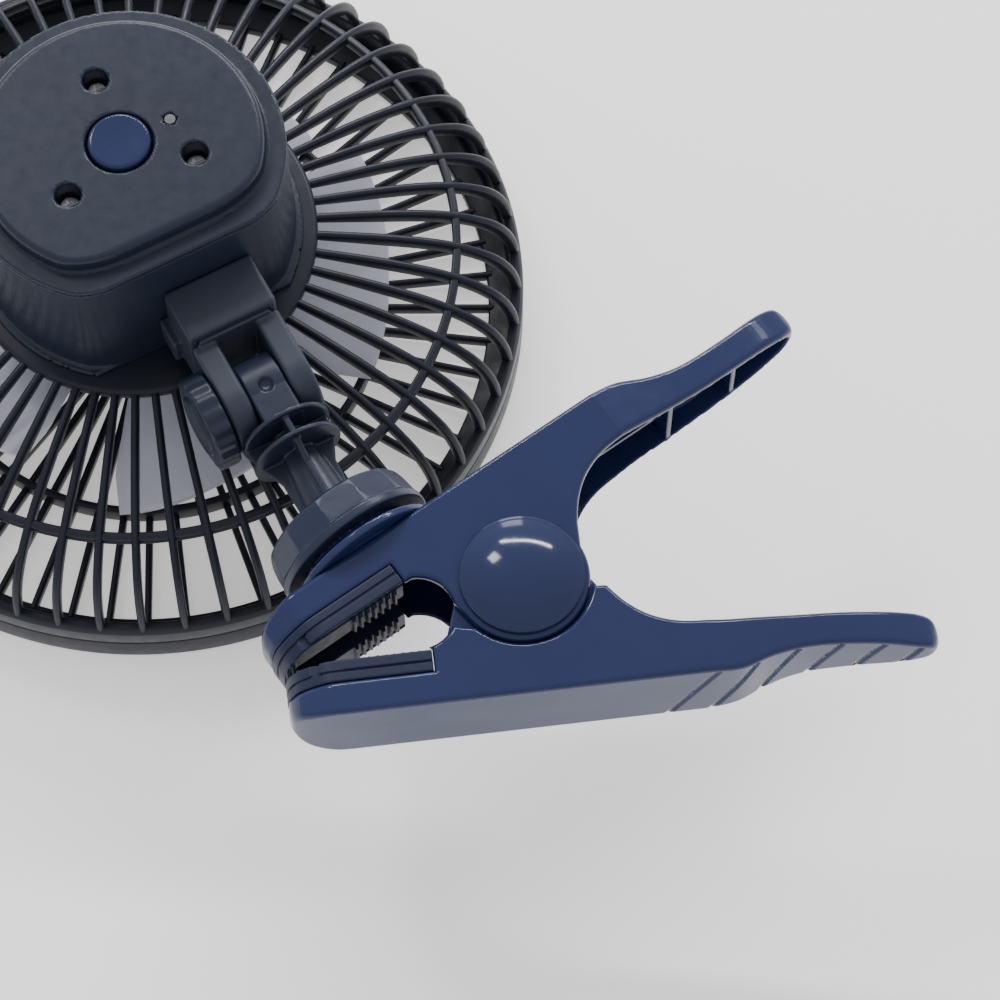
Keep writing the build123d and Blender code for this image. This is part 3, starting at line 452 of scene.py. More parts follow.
def surface(f, lo, hi, h):
    """Surface nets on a grid, then each point moved onto the surface. Gives points, quads and normals."""
    ax = [np.arange(lo[i] - 1.5 * h, hi[i] + 2.5 * h, h) for i in range(3)]
    S = f(ax[0][:, None, None], ax[1][None, :, None], ax[2][None, None, :])
    S = np.broadcast_to(S, tuple(len(a) for a in ax)).astype(np.float64)
    n = np.array(S.shape)
    neg = S < 0
    cx, cy, cz = n - 1
    acc = np.zeros((cx, cy, cz, 3))
    cnt = np.zeros((cx, cy, cz))
    corner = [(i, j, k) for i in (0, 1) for j in (0, 1) for k in (0, 1)]
    for a in corner:
        for d in range(3):
            if a[d]:
                continue
            b = list(a)
            b[d] = 1
            A = S[a[0]:a[0] + cx, a[1]:a[1] + cy, a[2]:a[2] + cz]
            B = S[b[0]:b[0] + cx, b[1]:b[1] + cy, b[2]:b[2] + cz]
            m = (A < 0) != (B < 0)
            t = np.where(m, A / np.where(m, A - B, 1), 0)
            for q in range(3):
                acc[..., q] += np.where(m, a[q] + (t if q == d else 0), 0)
            cnt += m
    act = cnt > 0
    idx = np.full(act.shape, -1, np.int64)
    idx[act] = np.arange(act.sum())
    cell = np.argwhere(act)
    P = (cell + acc[act] / cnt[act][:, None]) * h + np.array([a[0] for a in ax])
    quads = []
    for d in range(3):
        o1, o2 = (d + 1) % 3, (d + 2) % 3
        s0 = [slice(None)] * 3
        s1 = [slice(None)] * 3
        s0[d], s1[d] = slice(0, n[d] - 1), slice(1, n[d])
        A, B = neg[tuple(s0)], neg[tuple(s1)]
        e = np.argwhere(A != B)
        e = e[(e[:, o1] > 0) & (e[:, o2] > 0) & (e[:, o1] < n[o1] - 1) & (e[:, o2] < n[o2] - 1)]
        flip = A[tuple(e.T)]
        c = []
        for d1, d2 in ((1, 1), (0, 1), (0, 0), (1, 0)):
            k = e.copy()
            k[:, o1] -= d1
            k[:, o2] -= d2
            c.append(idx[tuple(k.T)])
        q = np.stack(c, 1)
        q[~flip] = q[~flip][:, ::-1]
        quads.append(q)
    Q = np.concatenate(quads)

    def val(p):
        return np.broadcast_to(f(p[:, 0], p[:, 1], p[:, 2]), (len(p),))

    def grad(p, e=0.02):
        g = np.empty_like(p)
        for i in range(3):
            s = np.zeros(3)
            s[i] = e
            g[:, i] = (val(p + s) - val(p - s)) / (2 * e)
        return g

    def settle(p, times):
        for _ in range(times):
            g = grad(p)
            l2 = np.maximum((g * g).sum(1), 0.2)
            step = -(val(p) / l2)[:, None] * g
            ln = np.linalg.norm(step, axis=1)
            step *= np.minimum(1, 0.6 * h / np.maximum(ln, 1e-9))[:, None]
            p = p + step
        return p

    P = settle(P, 3)
    for _ in range(2):
        s = np.zeros_like(P)
        c = np.zeros(len(P))
        for i in range(4):
            a, b = Q[:, i], Q[:, (i + 1) % 4]
            np.add.at(s, a, P[b])
            np.add.at(c, a, 1)
            np.add.at(s, b, P[a])
            np.add.at(c, b, 1)
        P = settle(P * 0.5 + 0.5 * s / c[:, None], 2)
    N = grad(P, 0.05)
    N /= np.maximum(np.linalg.norm(N, axis=1), 1e-9)[:, None]
    return P, Q, N


def implicit(name, f, lo, hi, h, mat, body, stands_for=(), m=WORLD):
    P, Q, N = surface(f, lo, hi, h)
    return add_piece(name, P, Q, mat, body, stands_for, m=m, normals=N)


# ================================================================ camera, floor, light
cam = bpy.data.cameras.new("camera")
cam.sensor_width = 36.0
cam.lens = 122.4
cam.clip_start, cam.clip_end = 0.01, 20
co = bpy.data.objects.new("camera", cam)
bpy.context.scene.collection.objects.link(co)
co.location = (0.07549, -0.33900, 0.66091)
co.rotation_euler = (rad(24), 0, 0)
bpy.context.scene.camera = co

fm = bpy.data.materials.new("floor_paper")
fm.use_nodes = True
fn = fm.node_tree
fs = fn.nodes["Principled BSDF"]
ft = node(fn, "ShaderNodeTexCoord", (-900, 0))
fz = node(fn, "ShaderNodeTexNoise", (-700, 0), Scale=1.4, Detail=2.0)
fn.links.new(ft.outputs["Object"], fz.inputs["Vector"])
fr = ramp(fn, fz.outputs["Fac"], (-450, 0), [(0.3, (0.885, 0.885, 0.865)), (0.7, (0.915, 0.915, 0.895))])
fn.links.new(fr.outputs["Color"], fs.inputs["Base Color"])
fs.inputs["Roughness"].default_value = 0.7
fs.inputs["Specular IOR Level"].default_value = 0.2
fs.inputs["Emission Color"].default_value = (1.0, 1.0, 0.975, 1)
fs.inputs["Emission Strength"].default_value = 0.5
bpy.ops.mesh.primitive_plane_add(size=6, location=(0, 0, -0.0004))
floor = bpy.context.object
floor.name = "floor"
floor.data.materials.append(fm)

world = bpy.data.worlds.new("studio") if bpy.context.scene.world is None else bpy.context.scene.world
bpy.context.scene.world = world
world.use_nodes = True
bg = world.node_tree.nodes.get("Background") or world.node_tree.nodes.new("ShaderNodeBackground")
bg.inputs["Strength"].default_value = 0.88
bg.inputs["Color"].default_value = (0.97, 0.98, 1.0, 1)


def area(name, loc, target, size, power, colour=(1, 1, 1), shape="RECTANGLE", size_y=None):
    l = bpy.data.lights.new(name, "AREA")
    l.shape = shape
    l.size = size
    if size_y:
        l.size_y = size_y
    l.energy = power
    l.color = colour
    o = bpy.data.objects.new(name, l)
    o.location = loc
    o.rotation_euler = (Vector(target) - Vector(loc)).to_track_quat("-Z", "Y").to_euler()
    bpy.context.scene.collection.objects.link(o)
    return o


area("key", (-0.55, 0.72, 1.05), (0.04, -0.05, 0.03), 0.22, 5.0, (1.0, 0.99, 0.97), size_y=0.26)
area("tube", (0.16, 0.88, 0.72), (0.09, -0.08, 0.05), 0.95, 11.0, (1.0, 1.0, 1.0), size_y=0.05)
area("window", (-0.06, 1.2, 0.21), (0.09, -0.08, 0.05), 0.30, 1.4, (0.82, 0.80, 1.0), size_y=0.22)

# ================================================================ rear grille
TOP = [(35.0, 36.6), (50.0, 35.2), (60.0, 33.4), (66.5, 31.3), (71.5, 28.6), (75.4, 25.4), (78.0, 21.4), (79.6, 16.6), (80.2, 11.6)]
LOW = [(35.0, 34.8), (49.6, 32.2), (59.3, 30.4), (65.4, 28.5), (69.8, 26.2), (73.2, 23.4), (75.6, 20.2), (77.2, 16.0), (78.1, 11.0)]


def spoke_mesh(top, low, w, n=3):
    T, L = catmull(top, n), catmull(low, n)
    V, F = [], []
    k = len(T)
    S = 12
    for t, l in zip(T, L):
        d = t - l
        hgt = np.linalg.norm(d)
        d = d / hgt
        r = w / 2
        sec = [(-r * 0.72, 0.0), (-r * 0.98, 0.35)]
        for a in np.linspace(180, 0, 7):
            sec.append((r * math.cos(rad(a)), hgt - r + r * math.sin(rad(a))))
        sec += [(r * 0.98, 0.35), (r * 0.72, 0.0), (0.0, -0.02)]
        for s, u in sec:
            V.append((l[0] + d[0] * u, s, l[1] + d[1] * u))
    for i in range(k - 1):
        for j in range(S):
            j2 = (j + 1) % S
            F.append((i * S + j, i * S + j2, (i + 1) * S + j2, (i + 1) * S + j))
    F.append(tuple(range(S)))
    F.append(tuple((k - 1) * S + j for j in range(S - 1, -1, -1)))
    return np.array(V), F


def spun(v, a):
    c, s = math.cos(a), math.sin(a)
    return v @ np.array([[c, s, 0], [-s, c, 0], [0, 0, 1]])


sv, sf = spoke_mesh(TOP, LOW, SPOKE_T)
parts = [(spun(sv, 2 * math.pi * i / N_SPOKES), sf) for i in range(N_SPOKES)]
band = rounded([(77.9, Z_SEAM + 0.12), (R_RIM, Z_SEAM + 0.12), (R_RIM, Z_BAND - 1.2), (R_RIM - 0.8, Z_BAND), (77.9, Z_BAND)], [0.2, 0.45, 0.8, 0.6, 0.5], 3)
parts.append(lathe(band, 228))
hoop = rounded([(R_MID - 1.0, Z_MID - 2.6), (R_MID + 0.8, Z_MID - 3.0), (R_MID + 0.8, Z_MID - 0.35), (R_MID - 1.0, Z_MID + 0.05)], 0.5, 3)
parts.append(lathe(hoop, 228))
hub_plate = rounded([(15.2, 34.5), (R_HUBRING, 34.5), (R_HUBRING, Z_HUB), (15.2, Z_HUB)], [0.2, 0.5, 0.9, 0.2], 4)
parts.append(lathe(hub_plate, 228))
V, F = join_parts(parts)
rear = add_piece("guard_rear", V, F, "grille", "head", ["rear_grille"], sharp=50)
merged(rear)
rear.data.set_sharp_from_angle(angle=rad(50))

# ================================================================ front grille
sv, sf = spoke_mesh([(21.0, 3.2), (47.0, 3.3), (60.0, 3.2), (74.0, 3.1)], [(21.0, 0.5), (47.0, 0.5), (60.0, 0.5), (74.0, 0.7)], 1.5, 3)
parts = [(spun(sv, 2 * math.pi * i / N_SPOKES), sf) for i in range(N_SPOKES)]
parts.append(lathe(rounded([(73.0, 0.02), (79.7, 0.02), (R_RIM, 0.9), (R_RIM, Z_SEAM - 0.02), (78.3, Z_SEAM - 0.02), (78.3, 3.4), (73.0, 2.6)], [0.4, 0.6, 0.6, 0.4, 0.2, 0.8, 0.5], 3), 228))
parts.append(lathe(rounded([(48.6, 0.7), (50.2, 0.7), (50.2, 5.5), (48.6, 5.5)], 0.5, 3), 228))
parts.append(lathe(rounded([(0, 0.02), (20.5, 0.02), (22.0, 1.2), (22.0, 3.4), (0, 3.4)], [0, 0.8, 0.8, 0.7, 0], 3), 96))
V, F = join_parts(parts)
front = add_piece("guard_front", V, F, "grille", "head", ["front_grille"])
merged(front)
front.data.set_sharp_from_angle(angle=rad(50))

# ================================================================ impeller
def blade_mesh():
    """Swept blade with a cambered section and rounded tip corners."""
    rs = np.concatenate([np.linspace(13.7, 48.0, 16), 48.0 + 3.7 * np.sin(np.radians(np.linspace(12, 90, 7)))])
    V, F = [], []
    ns = 20
    for r in rs:
        t = (r - 13.7) / (51.7 - 13.7)
        chord = np.interp(r, [13.7, 24, 38, 51.7], [16.5, 30.0, 44.6, 50.5])
        pitch = rad(np.interp(r, [13.7, 24, 38, 51.7], [38, 31, 24, 20]))
        lean = np.interp(r, [13.7, 24, 38, 51.7], [0, 1.0, 2.0, 3.0])
        if r > 48:
            chord *= math.sqrt(max(0.0, 1 - ((r - 48.0) / 3.75) ** 2)) * 0.35 + 0.65
        for side in (1, -1):
            for k in range(ns):
                s = -1 + 2 * k / (ns - 1)
                s = s if side > 0 else -s
                th = 0.75 * math.sqrt(max(0.0, 1 - s ** 8)) + 0.02
                x = s * chord / 2
                camber = 1.1 * (1 - s * s)
                y = x * math.cos(pitch) - (camber + side * th) * math.sin(pitch)
                z = x * math.sin(pitch) + (camber + side * th) * math.cos(pitch)
                V.append((r, lean + y, 16.7 + z))
    m = 2 * ns
    for i in range(len(rs) - 1):
        for j in range(m):
            j2 = (j + 1) % m
            F.append((i * m + j, (i + 1) * m + j, (i + 1) * m + j2, i * m + j2))
    F.append(tuple(range(m)))
    F.append(tuple((len(rs) - 1) * m + j for j in range(m - 1, -1, -1)))
    V = np.array(V)
    ang = np.arctan2(V[:, 1], V[:, 0])
    rad_ = np.hypot(V[:, 0], V[:, 1])
    lim = np.minimum(rad_, R_BLADE - 0.1)
    V[:, 0], V[:, 1] = lim * np.cos(ang), lim * np.sin(ang)
    return V, F


bv, bf = blade_mesh()
BLADE_TURN = 0.0
parts = [(spun(bv, 2 * math.pi * k / N_BLADES + BLADE_TURN), bf) for k in range(N_BLADES)]
parts.append(lathe(rounded([(1.55, 9.4), (12.5, 9.4), (15.0, 11.6), (15.0, 25.4), (13.4, 25.4), (13.4, 12.6), (3.6, 12.6), (3.6, 24.0), (1.55, 24.0)],
                           [0.1, 1.2, 1.6, 0.5, 0.5, 0.8, 0.4, 0.2, 0.2], 4), 96))
for k in range(5):
    a = rad(72 * k + 20)
    bx = np.array([(x, y, z) for x in (3.3, 13.6) for y in (-0.6, 0.6) for z in (12.4, 20.0)], float)
    parts.append((spun(bx, a), [(0, 1, 3, 2), (4, 6, 7, 5), (0, 4, 5, 1), (2, 3, 7, 6), (1, 5, 7, 3), (0, 2, 6, 4)]))
V, F = join_parts(parts)
imp = add_piece("blade_disc", V, F, "blade", "impeller", ["fan_blade"])
merged(imp)
imp.data.set_sharp_from_angle(angle=rad(45))


# ================================================================ drum and cover
def drum2(x, y, r, flat, fil=3.0):
    return r_and(np.hypot(x, y) - r, x - flat, fil)


def f_housing(x, y, z):
    outer = r_and(drum2(x, y, R_DRUM, D_FLAT), np.abs(z - (Z_HUB + Z_DRUM) / 2) - (Z_DRUM - Z_HUB) / 2 + 0.02, 0.35)
    foot = r_and(np.maximum(np.hypot(x, y) - (R_DRUM + 1.6), x - D_FLAT), np.abs(z - Z_HUB - 0.6) - 0.6, 0.4)
    d = r_or(outer, foot, 0.8)
    d = np.maximum(d, -np.maximum(drum2(x, y, R_DRUM - DRUM_WALL, D_FLAT - DRUM_WALL, 2.0), Z_HUB + 2.2 - z))
    d = np.maximum(d, -(np.hypot(x, y) - 14.2))
    port = d_box(x, y, z, (-R_DRUM, 0, 64.9), (6, 4.65, 1.75), 1.7)
    return r_cut(d, port, 0.3)


def f_cover(x, y, z):
    base = r_and(drum2(x, y, R_DRUM - 0.05, D_FLAT - 0.05), np.abs(z - Z_DRUM - 0.65) - 0.6, 0.4)
    plat = r_and(drum2(x, y, R_DRUM - 4.2, D_FLAT - 4.2, 5.0), np.abs(z - (Z_DRUM + Z_COVER) / 2) - (Z_COVER - Z_DRUM) / 2, 1.5)
    d = r_or(base, plat, 0.9)
    d = np.maximum(d, -np.maximum(drum2(x, y, R_DRUM - 6.4, D_FLAT - 6.4, 3.0), z - (Z_COVER - 2.2)))
    for k in range(3):
        a = rad(-129.0 - AZ_NECK + 120 * k)
        px, py = R_SCREW * math.cos(a), R_SCREW * math.sin(a)
        q = np.hypot(x - px, y - py)
        d = np.minimum(d, np.maximum(q - 4.2, np.abs(z - 69.8) - 3.5))
        d = r_cut(d, np.maximum(q - 2.6, 68.0 - z), 0.35)
    d = r_cut(d, np.hypot(x, y) - 6.8, 0.5)
    d = r_cut(d, np.hypot(x, y - 11.2) - 1.25, 0.2)
    return d


implicit("drum", f_housing, (-35, -35, 36.5), (28, 35, 69.5), 0.8, "housing", "head", ["motor_housing"], DRUM)
implicit("drum_cover", f_cover, (-33.5, -33.5, 66), (27.5, 33.5, 74.5), 0.6, "housing", "head", ["rear_cover"], DRUM)


def f_button(x, y, z):
    d = r_and(np.hypot(x, y) - 6.3, np.abs(z - 72.5) - 2.3, 0.9)
    d = r_or(d, r_and(np.hypot(x, y) - 7.55, np.abs(z - 70.85) - 0.6, 0.2), 0.2)
    return r_cut(d, np.sqrt(x ** 2 + y ** 2 + (z - 96.8) ** 2) - 22.35, 0.5)


implicit("rear_button", f_button, (-6.5, -6.5, 69.5), (6.5, 6.5, 75), 0.35, "cap", "button", ["power_button"], DRUM)


# ================================================================ bracket, yoke, knob
def f_bracket(x, y, z):
    d = d_block(x, y, z, D_FLAT + 0.02, 38.7, -9.7, 9.7, 41.0, Z_CAP, 0.9)
    d = r_cut(d, d_block(x, y, z, 30.0, 45.0, -8.0, 8.0, 36.0, Z_CAP - 1.8, 0.4), 0.3)
    for s in (-1, 1):
        d = r_or(d, d_block(x, y * s, z, D_FLAT + 0.02, 33.5, 9.0, 11.5, 42.0, 49.0, 0.6), 0.5)
    return d


def f_yoke(x, y, z):
    base = d_block(x, y, z, 30.2, 39.4, -7.85, 7.85, 41.0, Z_CAP - 2.0, 0.4)
    d = base
    for s in (-1, 1):
        yy = y * s
        arm = d_poly(x, z, ARM_SIDE)
        arm = r_and(arm, np.abs(yy - (ARM_IN + ARM_OUT) / 2) - (ARM_OUT - ARM_IN) / 2, 0.9)
        d = r_or(d, arm, 0.6)
    d = r_cut(d, np.hypot(x - U_HINGE, z - Z_AXIS) - 2.6, 0.3)
    a = np.arctan2(z - Z_AXIS, x - U_HINGE)
    hexr = np.hypot(x - U_HINGE, z - Z_AXIS) * np.cos((a + math.pi / 6) % (math.pi / 3) - math.pi / 6) - 3.86
    d = r_cut(d, np.maximum(hexr, (ARM_OUT - 2.6) - y), 0.25)
    return d


ARM_SIDE = np.concatenate([[(38.9, Z_AXIS - ARM_R), (U_HINGE, Z_AXIS - ARM_R)], arc_pts((U_HINGE, Z_AXIS), ARM_R, -90, 90, 40)[1:-1], [(U_HINGE, Z_AXIS + ARM_R), (38.9, Z_AXIS + ARM_R)]])
implicit("bracket", f_bracket, (26.5, -11.7, 40.8), (39.0, 11.7, 58.9), 0.4, "bracket", "head", ["tilt_bracket"], NECK)
implicit("yoke", f_yoke, (30, -10.1, 38.2), (59.8, 10.1, 57.0), 0.42, "bracket", "head", ["tilt_yoke"], NECK)


def f_knob(x, y, z):
    """x, z across the knob, y along its axis."""
    px, pz = x - U_HINGE, z - Z_AXIS
    r = np.hypot(px, pz)
    a = np.arctan2(pz, px)
    edge = r - (10.0 - 0.32 * (1 + np.cos(18 * a)) * 0.5)
    k0 = -ARM_OUT - 0.4
    d = r_and(edge, np.abs(y - (k0 - 2.3)) - 2.3, 0.7)
    d = r_or(d, r_and(r - 6.4, np.abs(y - (k0 - 4.6)) - 0.7, 0.4), 0.3)
    return r_cut(d, np.maximum(np.hypot(px, pz) - 2.6, (k0 - 3.4) - y), 0.1)


implicit("knob", f_knob, (40.8, -15.9, 36.8), (61.2, -10.2, 57.2), 0.36, "housing", "knob", ["tilt_knob"], NECK)


# ================================================================ neck
RIB = [(65.6, -8.2), (65.6, 8.2), (67.6, 7.2), (70.5, 5.9), (78.2, 5.6), (79.6, 4.6), (79.6, -4.6), (78.2, -5.6), (70.5, -5.9), (67.6, -7.2)]


def f_neck(x, y, z):
    w = z - Z_AXIS
    q = np.hypot(y, w)
    side = np.minimum(np.hypot(x - U_HINGE, w) - 7.95, d_box(x, w, 0 * x, (56.0, 0, 0), (5.0, 7.55, 1e3)))
    tongue = r_and(side, np.abs(y) - 4.08, 0.6)
    tongue = r_cut(tongue, np.sqrt((x - 52.6) ** 2 + y ** 2 + (w - 8.4) ** 2) - 1.7, 0.3)
    d = tongue
    for u in (60.4, 65.3):
        d = r_or(d, r_and(q - 9.5, np.abs(x - u) - 0.52, 0.25), 0.4)
    d = r_or(d, r_and(q - 3.2, np.abs(x - 63.5) - 3.5, 0.2), 0.4)
    for a, b in ((y, w), (w, y)):
        d = r_or(d, np.maximum(np.maximum(np.abs(a) - 0.6, np.abs(b) - 8.7), np.abs(x - 62.9) - 2.4), 0.3)
        d = r_or(d, r_and(d_poly(x, b, RIB), np.abs(a) - 0.6, 0.3), 0.5)
    cone = q - (3.6 + (x - 66.0) * 0.1)
    d = r_or(d, np.maximum(cone, np.abs(x - 74.0) - 8.0), 0.5)
    d = r_or(d, np.maximum(q - 5.0, np.abs(x - 81.5) - 2.5), 0.4)
    d = r_or(d, np.sqrt((x - U_BALL) ** 2 + q ** 2) - 7.95, 0.6)
    return r_cut(d, np.hypot(x - U_HINGE, w) - 2.6, 0.2)


implicit("neck", f_neck, (42.8, -9.7, 37.2), (93.7, 9.7, 56.7), 0.4, "neck", "neck", ["swivel_neck"], NECK)


# ================================================================ ball socket and collar nut (clip frame)
FH = FACE - BY


def f_socket(x, y, z):
    px, h = np.hypot(x - BX, z), y - BY
    out = r_and(px - 12.3, np.abs(h - (FH - 0.7) / 2) - (-0.7 - FH) / 2, 0.3)
    foot = r_and(px - 16.35, np.abs(h - FH - 0.87) - 0.85, 0.5)
    d = r_or(out, foot, 0.6)
    d = np.minimum(d, np.maximum(px - 8.0, np.abs(h - FH + 1.3) - 1.6))
    for i in range(3):
        d = r_or(d, np.hypot(px - 12.2, h + 4.3 - 1.4 * i) - 0.35, 0.1)
    return r_cut(d, np.sqrt(px ** 2 + h ** 2) - 9.9, 0.3)


implicit("socket", f_socket, (BX - 16.5, FACE - 3.0, -16.5), (BX + 16.5, BY - 0.5, 16.5), 0.5, "clip", "clip_upper", ["ball_socket"], UP)


def f_collar(x, y, z):
    px, pz, h = x - BX, z, y - BY
    q = np.hypot(px, pz)
    a = np.arctan2(pz, px)
    fac = q * np.cos((a + math.pi / 12) % (math.pi / 6) - math.pi / 12) - (16.4 - (h + 2.4) * 0.135) * math.cos(math.pi / 12)
    body_ = r_and(fac, np.abs(h - 0.75) - 3.5, 0.5)
    cone = q - (16.25 - np.maximum(0, h - 1.4) * 0.42 - np.maximum(0, h - 3.4) * 1.3)
    body_ = r_and(body_, cone, 0.3)
    skirt = r_and(q - 16.55, np.abs(h + 3.65) - 1.02, 0.4)
    d = r_or(body_, skirt, 0.3)
    hole = np.maximum(q - 12.85, h - 0.2)
    seat_ = np.maximum(q - np.interp(h, [0.0, 0.8, 2.0, 3.4, 4.3, 6], [12.85, 8.4, 8.11, 7.7, 8.6, 9.6]), -(h - 0.1))
    d = r_cut(d, hole, 0.2)
    return r_cut(d, seat_, 0.25)


implicit("collar", f_collar, (BX - 16.8, BY - 4.8, -16.8), (BX + 16.8, BY + 4.5, 16.8), 0.42, "collar", "collar", ["collar_nut"], UP)


# ================================================================ levers
def plan_outline(inset=0.0):
    w = HALF_W - inset
    h = catmull([(TIP_X + inset, 0), (TIP_X + 0.5 + inset, 4.6 - inset * 0.6), (TIP_X + 2.6 + inset * 0.8, 8.4 - inset * 0.8), (-40.0, w - 0.5), (-36.0, w)], 6)
    h2 = catmull([(34.0, w), (42.0, 10.4 - inset), (52.0, 8.7 - inset), (62.0, 7.6 - inset), (71.0, 6.0 - inset), (77.6 - inset, 3.2 - inset * 0.5), (79.7 - inset, 0)], 6)
    h = np.concatenate([h, h2])
    low = h[1:-1][::-1].copy()
    low[:, 1] *= -1
    return np.concatenate([h, low])


def side_outline(lower):
    a = catmull([(TIP_X, SEAM_Y), (TIP_X + 0.1, 20.2), (-45.6, 22.1), (-41.0, 23.3), (-36.0, FACE)], 5)
    b = catmull([(35.0, FACE), (40.0, 23.1), (46.5, 20.7), (54.0, 19.4), (64.0, 19.6), (75.0, 20.6), (78.6, 20.0), (79.8, 17.4), (78.6, 14.6), (75.0, 13.6)], 6)
    c = catmull([(75.0, 13.6), (60.0, 12.8), (46.0, 12.7), (36.0, 12.9), (29.0, 12.4), (23.5, 10.5), (19.2, 7.3), (15.9, 3.4)], 6)[1:]
    if not lower:
        eye, q = arc_pts((0, 0), EYE_R, -6, -168, 40), arc_pts((-20.6, 6.0), RECESS_R, -20, 62, 14)
    else:
        eye, q = arc_pts((0, 0), EYE_R + 0.35, 14, 137, 32), arc_pts((-20.9, 4.8), RECESS_R, 28, 84, 12)
    return np.concatenate([a, b, c, eye, q, [(NOTCH_X, q[-1][1]), (NOTCH_X, SEAM_Y)]])


CHANNEL = [(-44.6, 10.0), (-44.6, 20.6), (-41.5, 21.2), (-36.0, FACE - WALL), (35.0, FACE - WALL), (40.0, 20.9), (46.5, 18.6), (54.0, 17.4), (64.0, 17.6), (73.0, 18.4),
           (76.6, 18.0), (77.4, 15.0), (77.4, -20), (-44.6, -20)]
PLAN, PLAN_IN = plan_outline(), plan_outline(WALL)
SIDE = {False: side_outline(False), True: side_outline(True)}


def lever_fn(lower):
    side, chan = SIDE[lower], CHANNEL
    ear_poly = [(-12.6, 0.0), (-15.6, 9.4), (-13.8, 14.6), (-6.0, 19.0), (8.0, 19.0), (19.0, 14.0), (19.6, 9.4), (15.4, 4.2), (12.6, 0.0)]

    def f(x, y, z):
        s2, p2 = d_poly(x, y, side), d_poly(x, z, PLAN)
        outer = r_and(s2, p2, np.interp(-z if lower else z, [-9.0, -1.0], [4.2, 1.1]))
        inner = r_and(d_poly(x, y, chan), d_poly(x, z, PLAN_IN), 0.7)
        d = r_cut(outer, inner, 0.6)
        ribs = np.minimum(np.abs(x - 46.7) - 0.6, np.abs(x - 62.6) - 0.6)
        ribs = np.maximum(ribs, p2 + 0.8)
        long_ = np.maximum(np.maximum(np.abs(z) - 0.6, 15.8 - y), np.abs(x - 47) - 23)
        deep = np.maximum(np.minimum(ribs, long_), np.maximum(s2 + 0.5, 13.4 - y))
        d = r_or(d, deep, 0.4)
        if lower:
            for sg in (1, -1):
                zz = z * sg
                ear = np.minimum(np.hypot(x, y) - 12.6, d_poly(x, y, ear_poly))
                d = np.minimum(d, r_and(ear, np.abs(zz - 8.5) - 1.0, 0.25))
        else:
            cross = np.maximum(np.maximum(np.abs(x + 2.95) - 1.15, np.abs(y - 18.8) - 3.8), np.abs(z) - 10.2)
            d = r_or(d, cross, 0.4)
            d = np.maximum(d, -np.maximum(np.hypot(x - BX, z) - 8.05, 20.0 - y))
        d = r_cut(d, np.hypot(x, y) - 3.1, 0.2)
        if lower:
            d = lower_tiles(d, x, y, z)
        return d

    return f


def lower_tiles(d, x, y, z):
    """Raised tiles on the outer face of the lower handle, parted by slanted V grooves that run out before its edges."""
    half = np.interp(x, [34, 42, 52, 62, 71, 78], [12.0, 10.4, 8.7, 7.6, 6.0, 3.0]) - 1.4
    d0 = d
    for x0 in (30.0, 38.5, 47.5, 56.5, 65.5, 74.0):
        g = (np.abs((x - x0) + 0.45 * z) - 0.75) * 0.7 - (d0 + 0.1) * 0.7
        g = np.maximum(np.maximum(g, -(d0 + 0.5)), np.maximum(17.5 - y, np.abs(z) - half))
        d = r_cut(d, g, 0.12)
    return d


implicit("lever_upper", lever_fn(False), (-48, -13.6, -12.2), (80.2, 24, 12.2), 0.48, "clip", "clip_upper", ["upper_lever"], UP)
implicit("lever_lower", lever_fn(True), (-48, -13.0, -12.2), (80.2, 24, 12.2), 0.46, "clip", "clip_lower", ["lower_lever"], LO)

PAD_PLAN = plan_outline(0.2)


def f_pad(x, y, z):
    """Rims along both edges, a rail beside each, ridged over its inner half, and a deep channel between the rails."""
    plan = d_poly(x, z, PAD_PLAN)
    d = r_and(plan, np.maximum(np.abs(y - (PAD_Y + 0.2 + SEAM_Y) / 2) - (SEAM_Y - PAD_Y - 0.2) / 2 + 0.03, x - NOTCH_X + 0.12), 0.3)
    az_ = np.abs(z)
    d = r_cut(d, np.maximum(np.maximum(az_ - 4.4, -44.6 - x), y - 15.2), 0.25)
    d = r_cut(d, np.maximum(np.maximum(np.abs(az_ - 10.45) - 0.45, -44.6 - x), y - 15.2), 0.15)
    t = (x + 30.8) / 1.6
    k = np.clip(np.round(t), 0, 6)
    tooth = np.maximum(np.abs(x + 30.8 - 1.6 * k) - 0.2 - np.maximum(0, y - PAD_Y + 0.6) * 0.36, np.abs(y - PAD_Y) - 0.6)
    d = np.minimum(d, np.maximum(tooth, np.abs(az_ - 7.2) - 2.8))
    t2 = np.clip(np.round((x + 46.4) / 0.9), 0, 2)
    small = np.maximum(np.abs(x + 46.4 - 0.9 * t2) - 0.22, np.abs(y - PAD_Y - 0.12) - 0.17)
    d = np.minimum(d, np.maximum(small, plan + 0.1))
    seam = np.maximum(np.abs(y - 15.05) - 0.16, -(plan + 0.32))
    return r_cut(d, seam, 0.1)


for nm, fr_, bd in (("pad_upper", UP, "clip_upper"), ("pad_lower", LO, "clip_lower")):
    implicit(nm, f_pad, (-47.5, 11.8, -12), (-18.7, 17.2, 12), 0.3, "pad", bd, ["upper_pad" if bd == "clip_upper" else "lower_pad"], fr_)


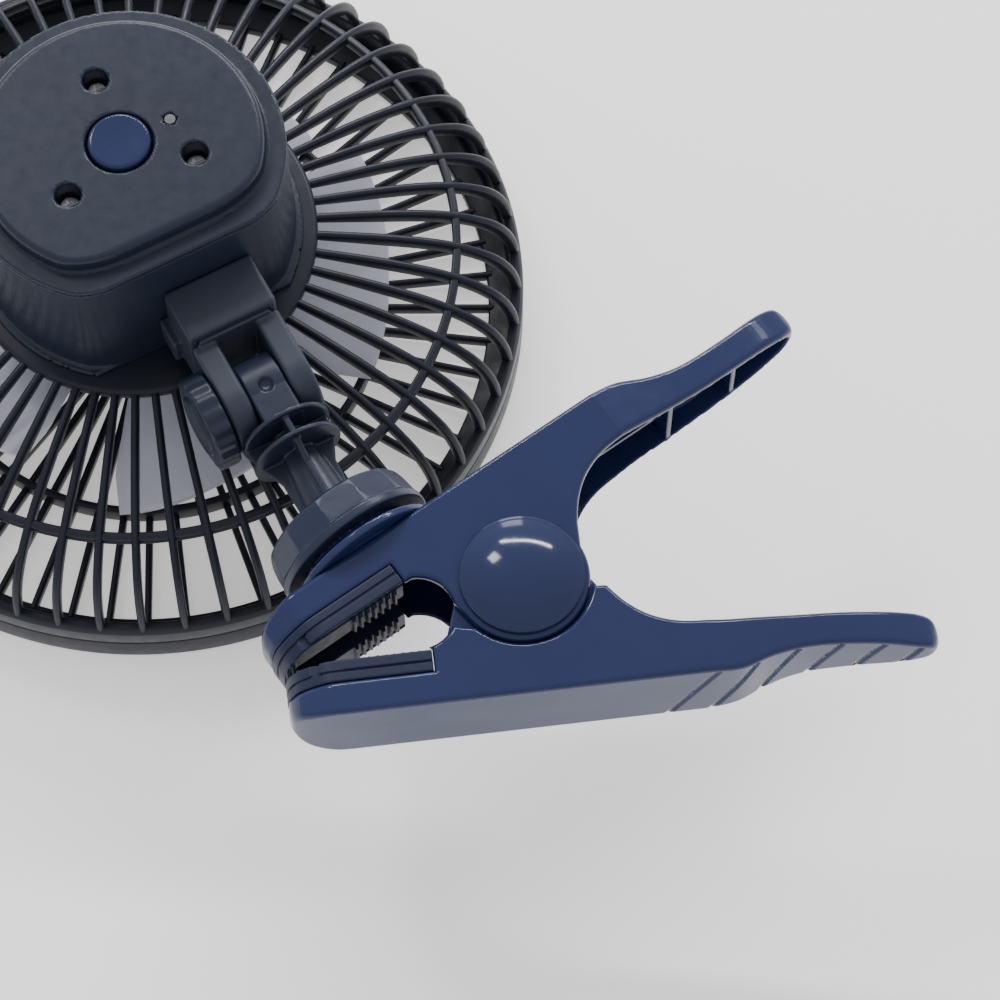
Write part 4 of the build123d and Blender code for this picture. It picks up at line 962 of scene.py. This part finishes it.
# ================================================================ pivot caps
def cap_outline():
    prof = [(0, 0.0), (11.7, 0.0), (12.08, 0.35), (12.08, 1.25), (11.75, 1.55)]
    for a in np.linspace(32.9, 0, 26):
        prof.append((20.6 * math.sin(rad(a)), 20.6 * math.cos(rad(a)) - 20.6 * math.cos(rad(32.9)) + 1.75))
    return np.array([(max(0.0, p[0]), p[1]) for p in prof])


cap_o = cap_outline()
for nm, s, stands in (("pivot_dome_near", 1, "pivot_cap_near"), ("pivot_dome_far", -1, "pivot_cap_far")):
    V, F = lathe(cap_o, 96)
    V[:, 2] = (V[:, 2] + HALF_W + 0.02) * s
    o = add_piece(nm, V, F, "cap", "clip_upper", [stands], m=UP)
    merged(o)
    o.data.set_sharp_from_angle(angle=rad(30))

# ================================================================ spring
WIRE, COIL_R, COIL_P, TURNS = 1.0, 6.3, 1.9, 5


z_end = (TURNS - 1) / 2 * COIL_P
lo_dir = LO[:3, :3] @ np.array((0.0, 1.0, 0.0))
up_dir = UP[:3, :3] @ np.array((0.0, 1.0, 0.0))
a_start = math.atan2(lo_dir[1], lo_dir[0])
a_stop = math.atan2(up_dir[1], up_dir[0])
turn = a_stop - a_start
while turn < 0:
    turn += 2 * math.pi
turn += 2 * math.pi * (TURNS - 1)
c0 = np.array([PIVOT[0], PIVOT[1], Z_AXIS])


def leg_pts(m, z_local):
    a, b = np.array((1.5, COIL_R, z_local)), np.array((34.0, 19.9, z_local))
    return [m[:3, :3] @ (a + (b - a) * t) + m[:3, 3] for t in (0.12, 0.3, 0.5, 0.75, 1.0)]


pts = []
for k in range(int(turn / rad(10)) + 1):
    a = a_start + min(turn, k * rad(10))
    t = (a - a_start) / turn
    pts.append(c0 + np.array((COIL_R * math.cos(a), COIL_R * math.sin(a), -z_end + 2 * z_end * t)))
path = leg_pts(LO, z_end)[::-1] + pts + leg_pts(UP, z_end)
V, F = tube_along(np.array(path), WIRE * 0.98, 12)
sp = add_piece("jaw_spring", V, F, "steel", None, ["torsion_spring"])
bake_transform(sp)

# ================================================================ end
bpy.context.view_layer.update()
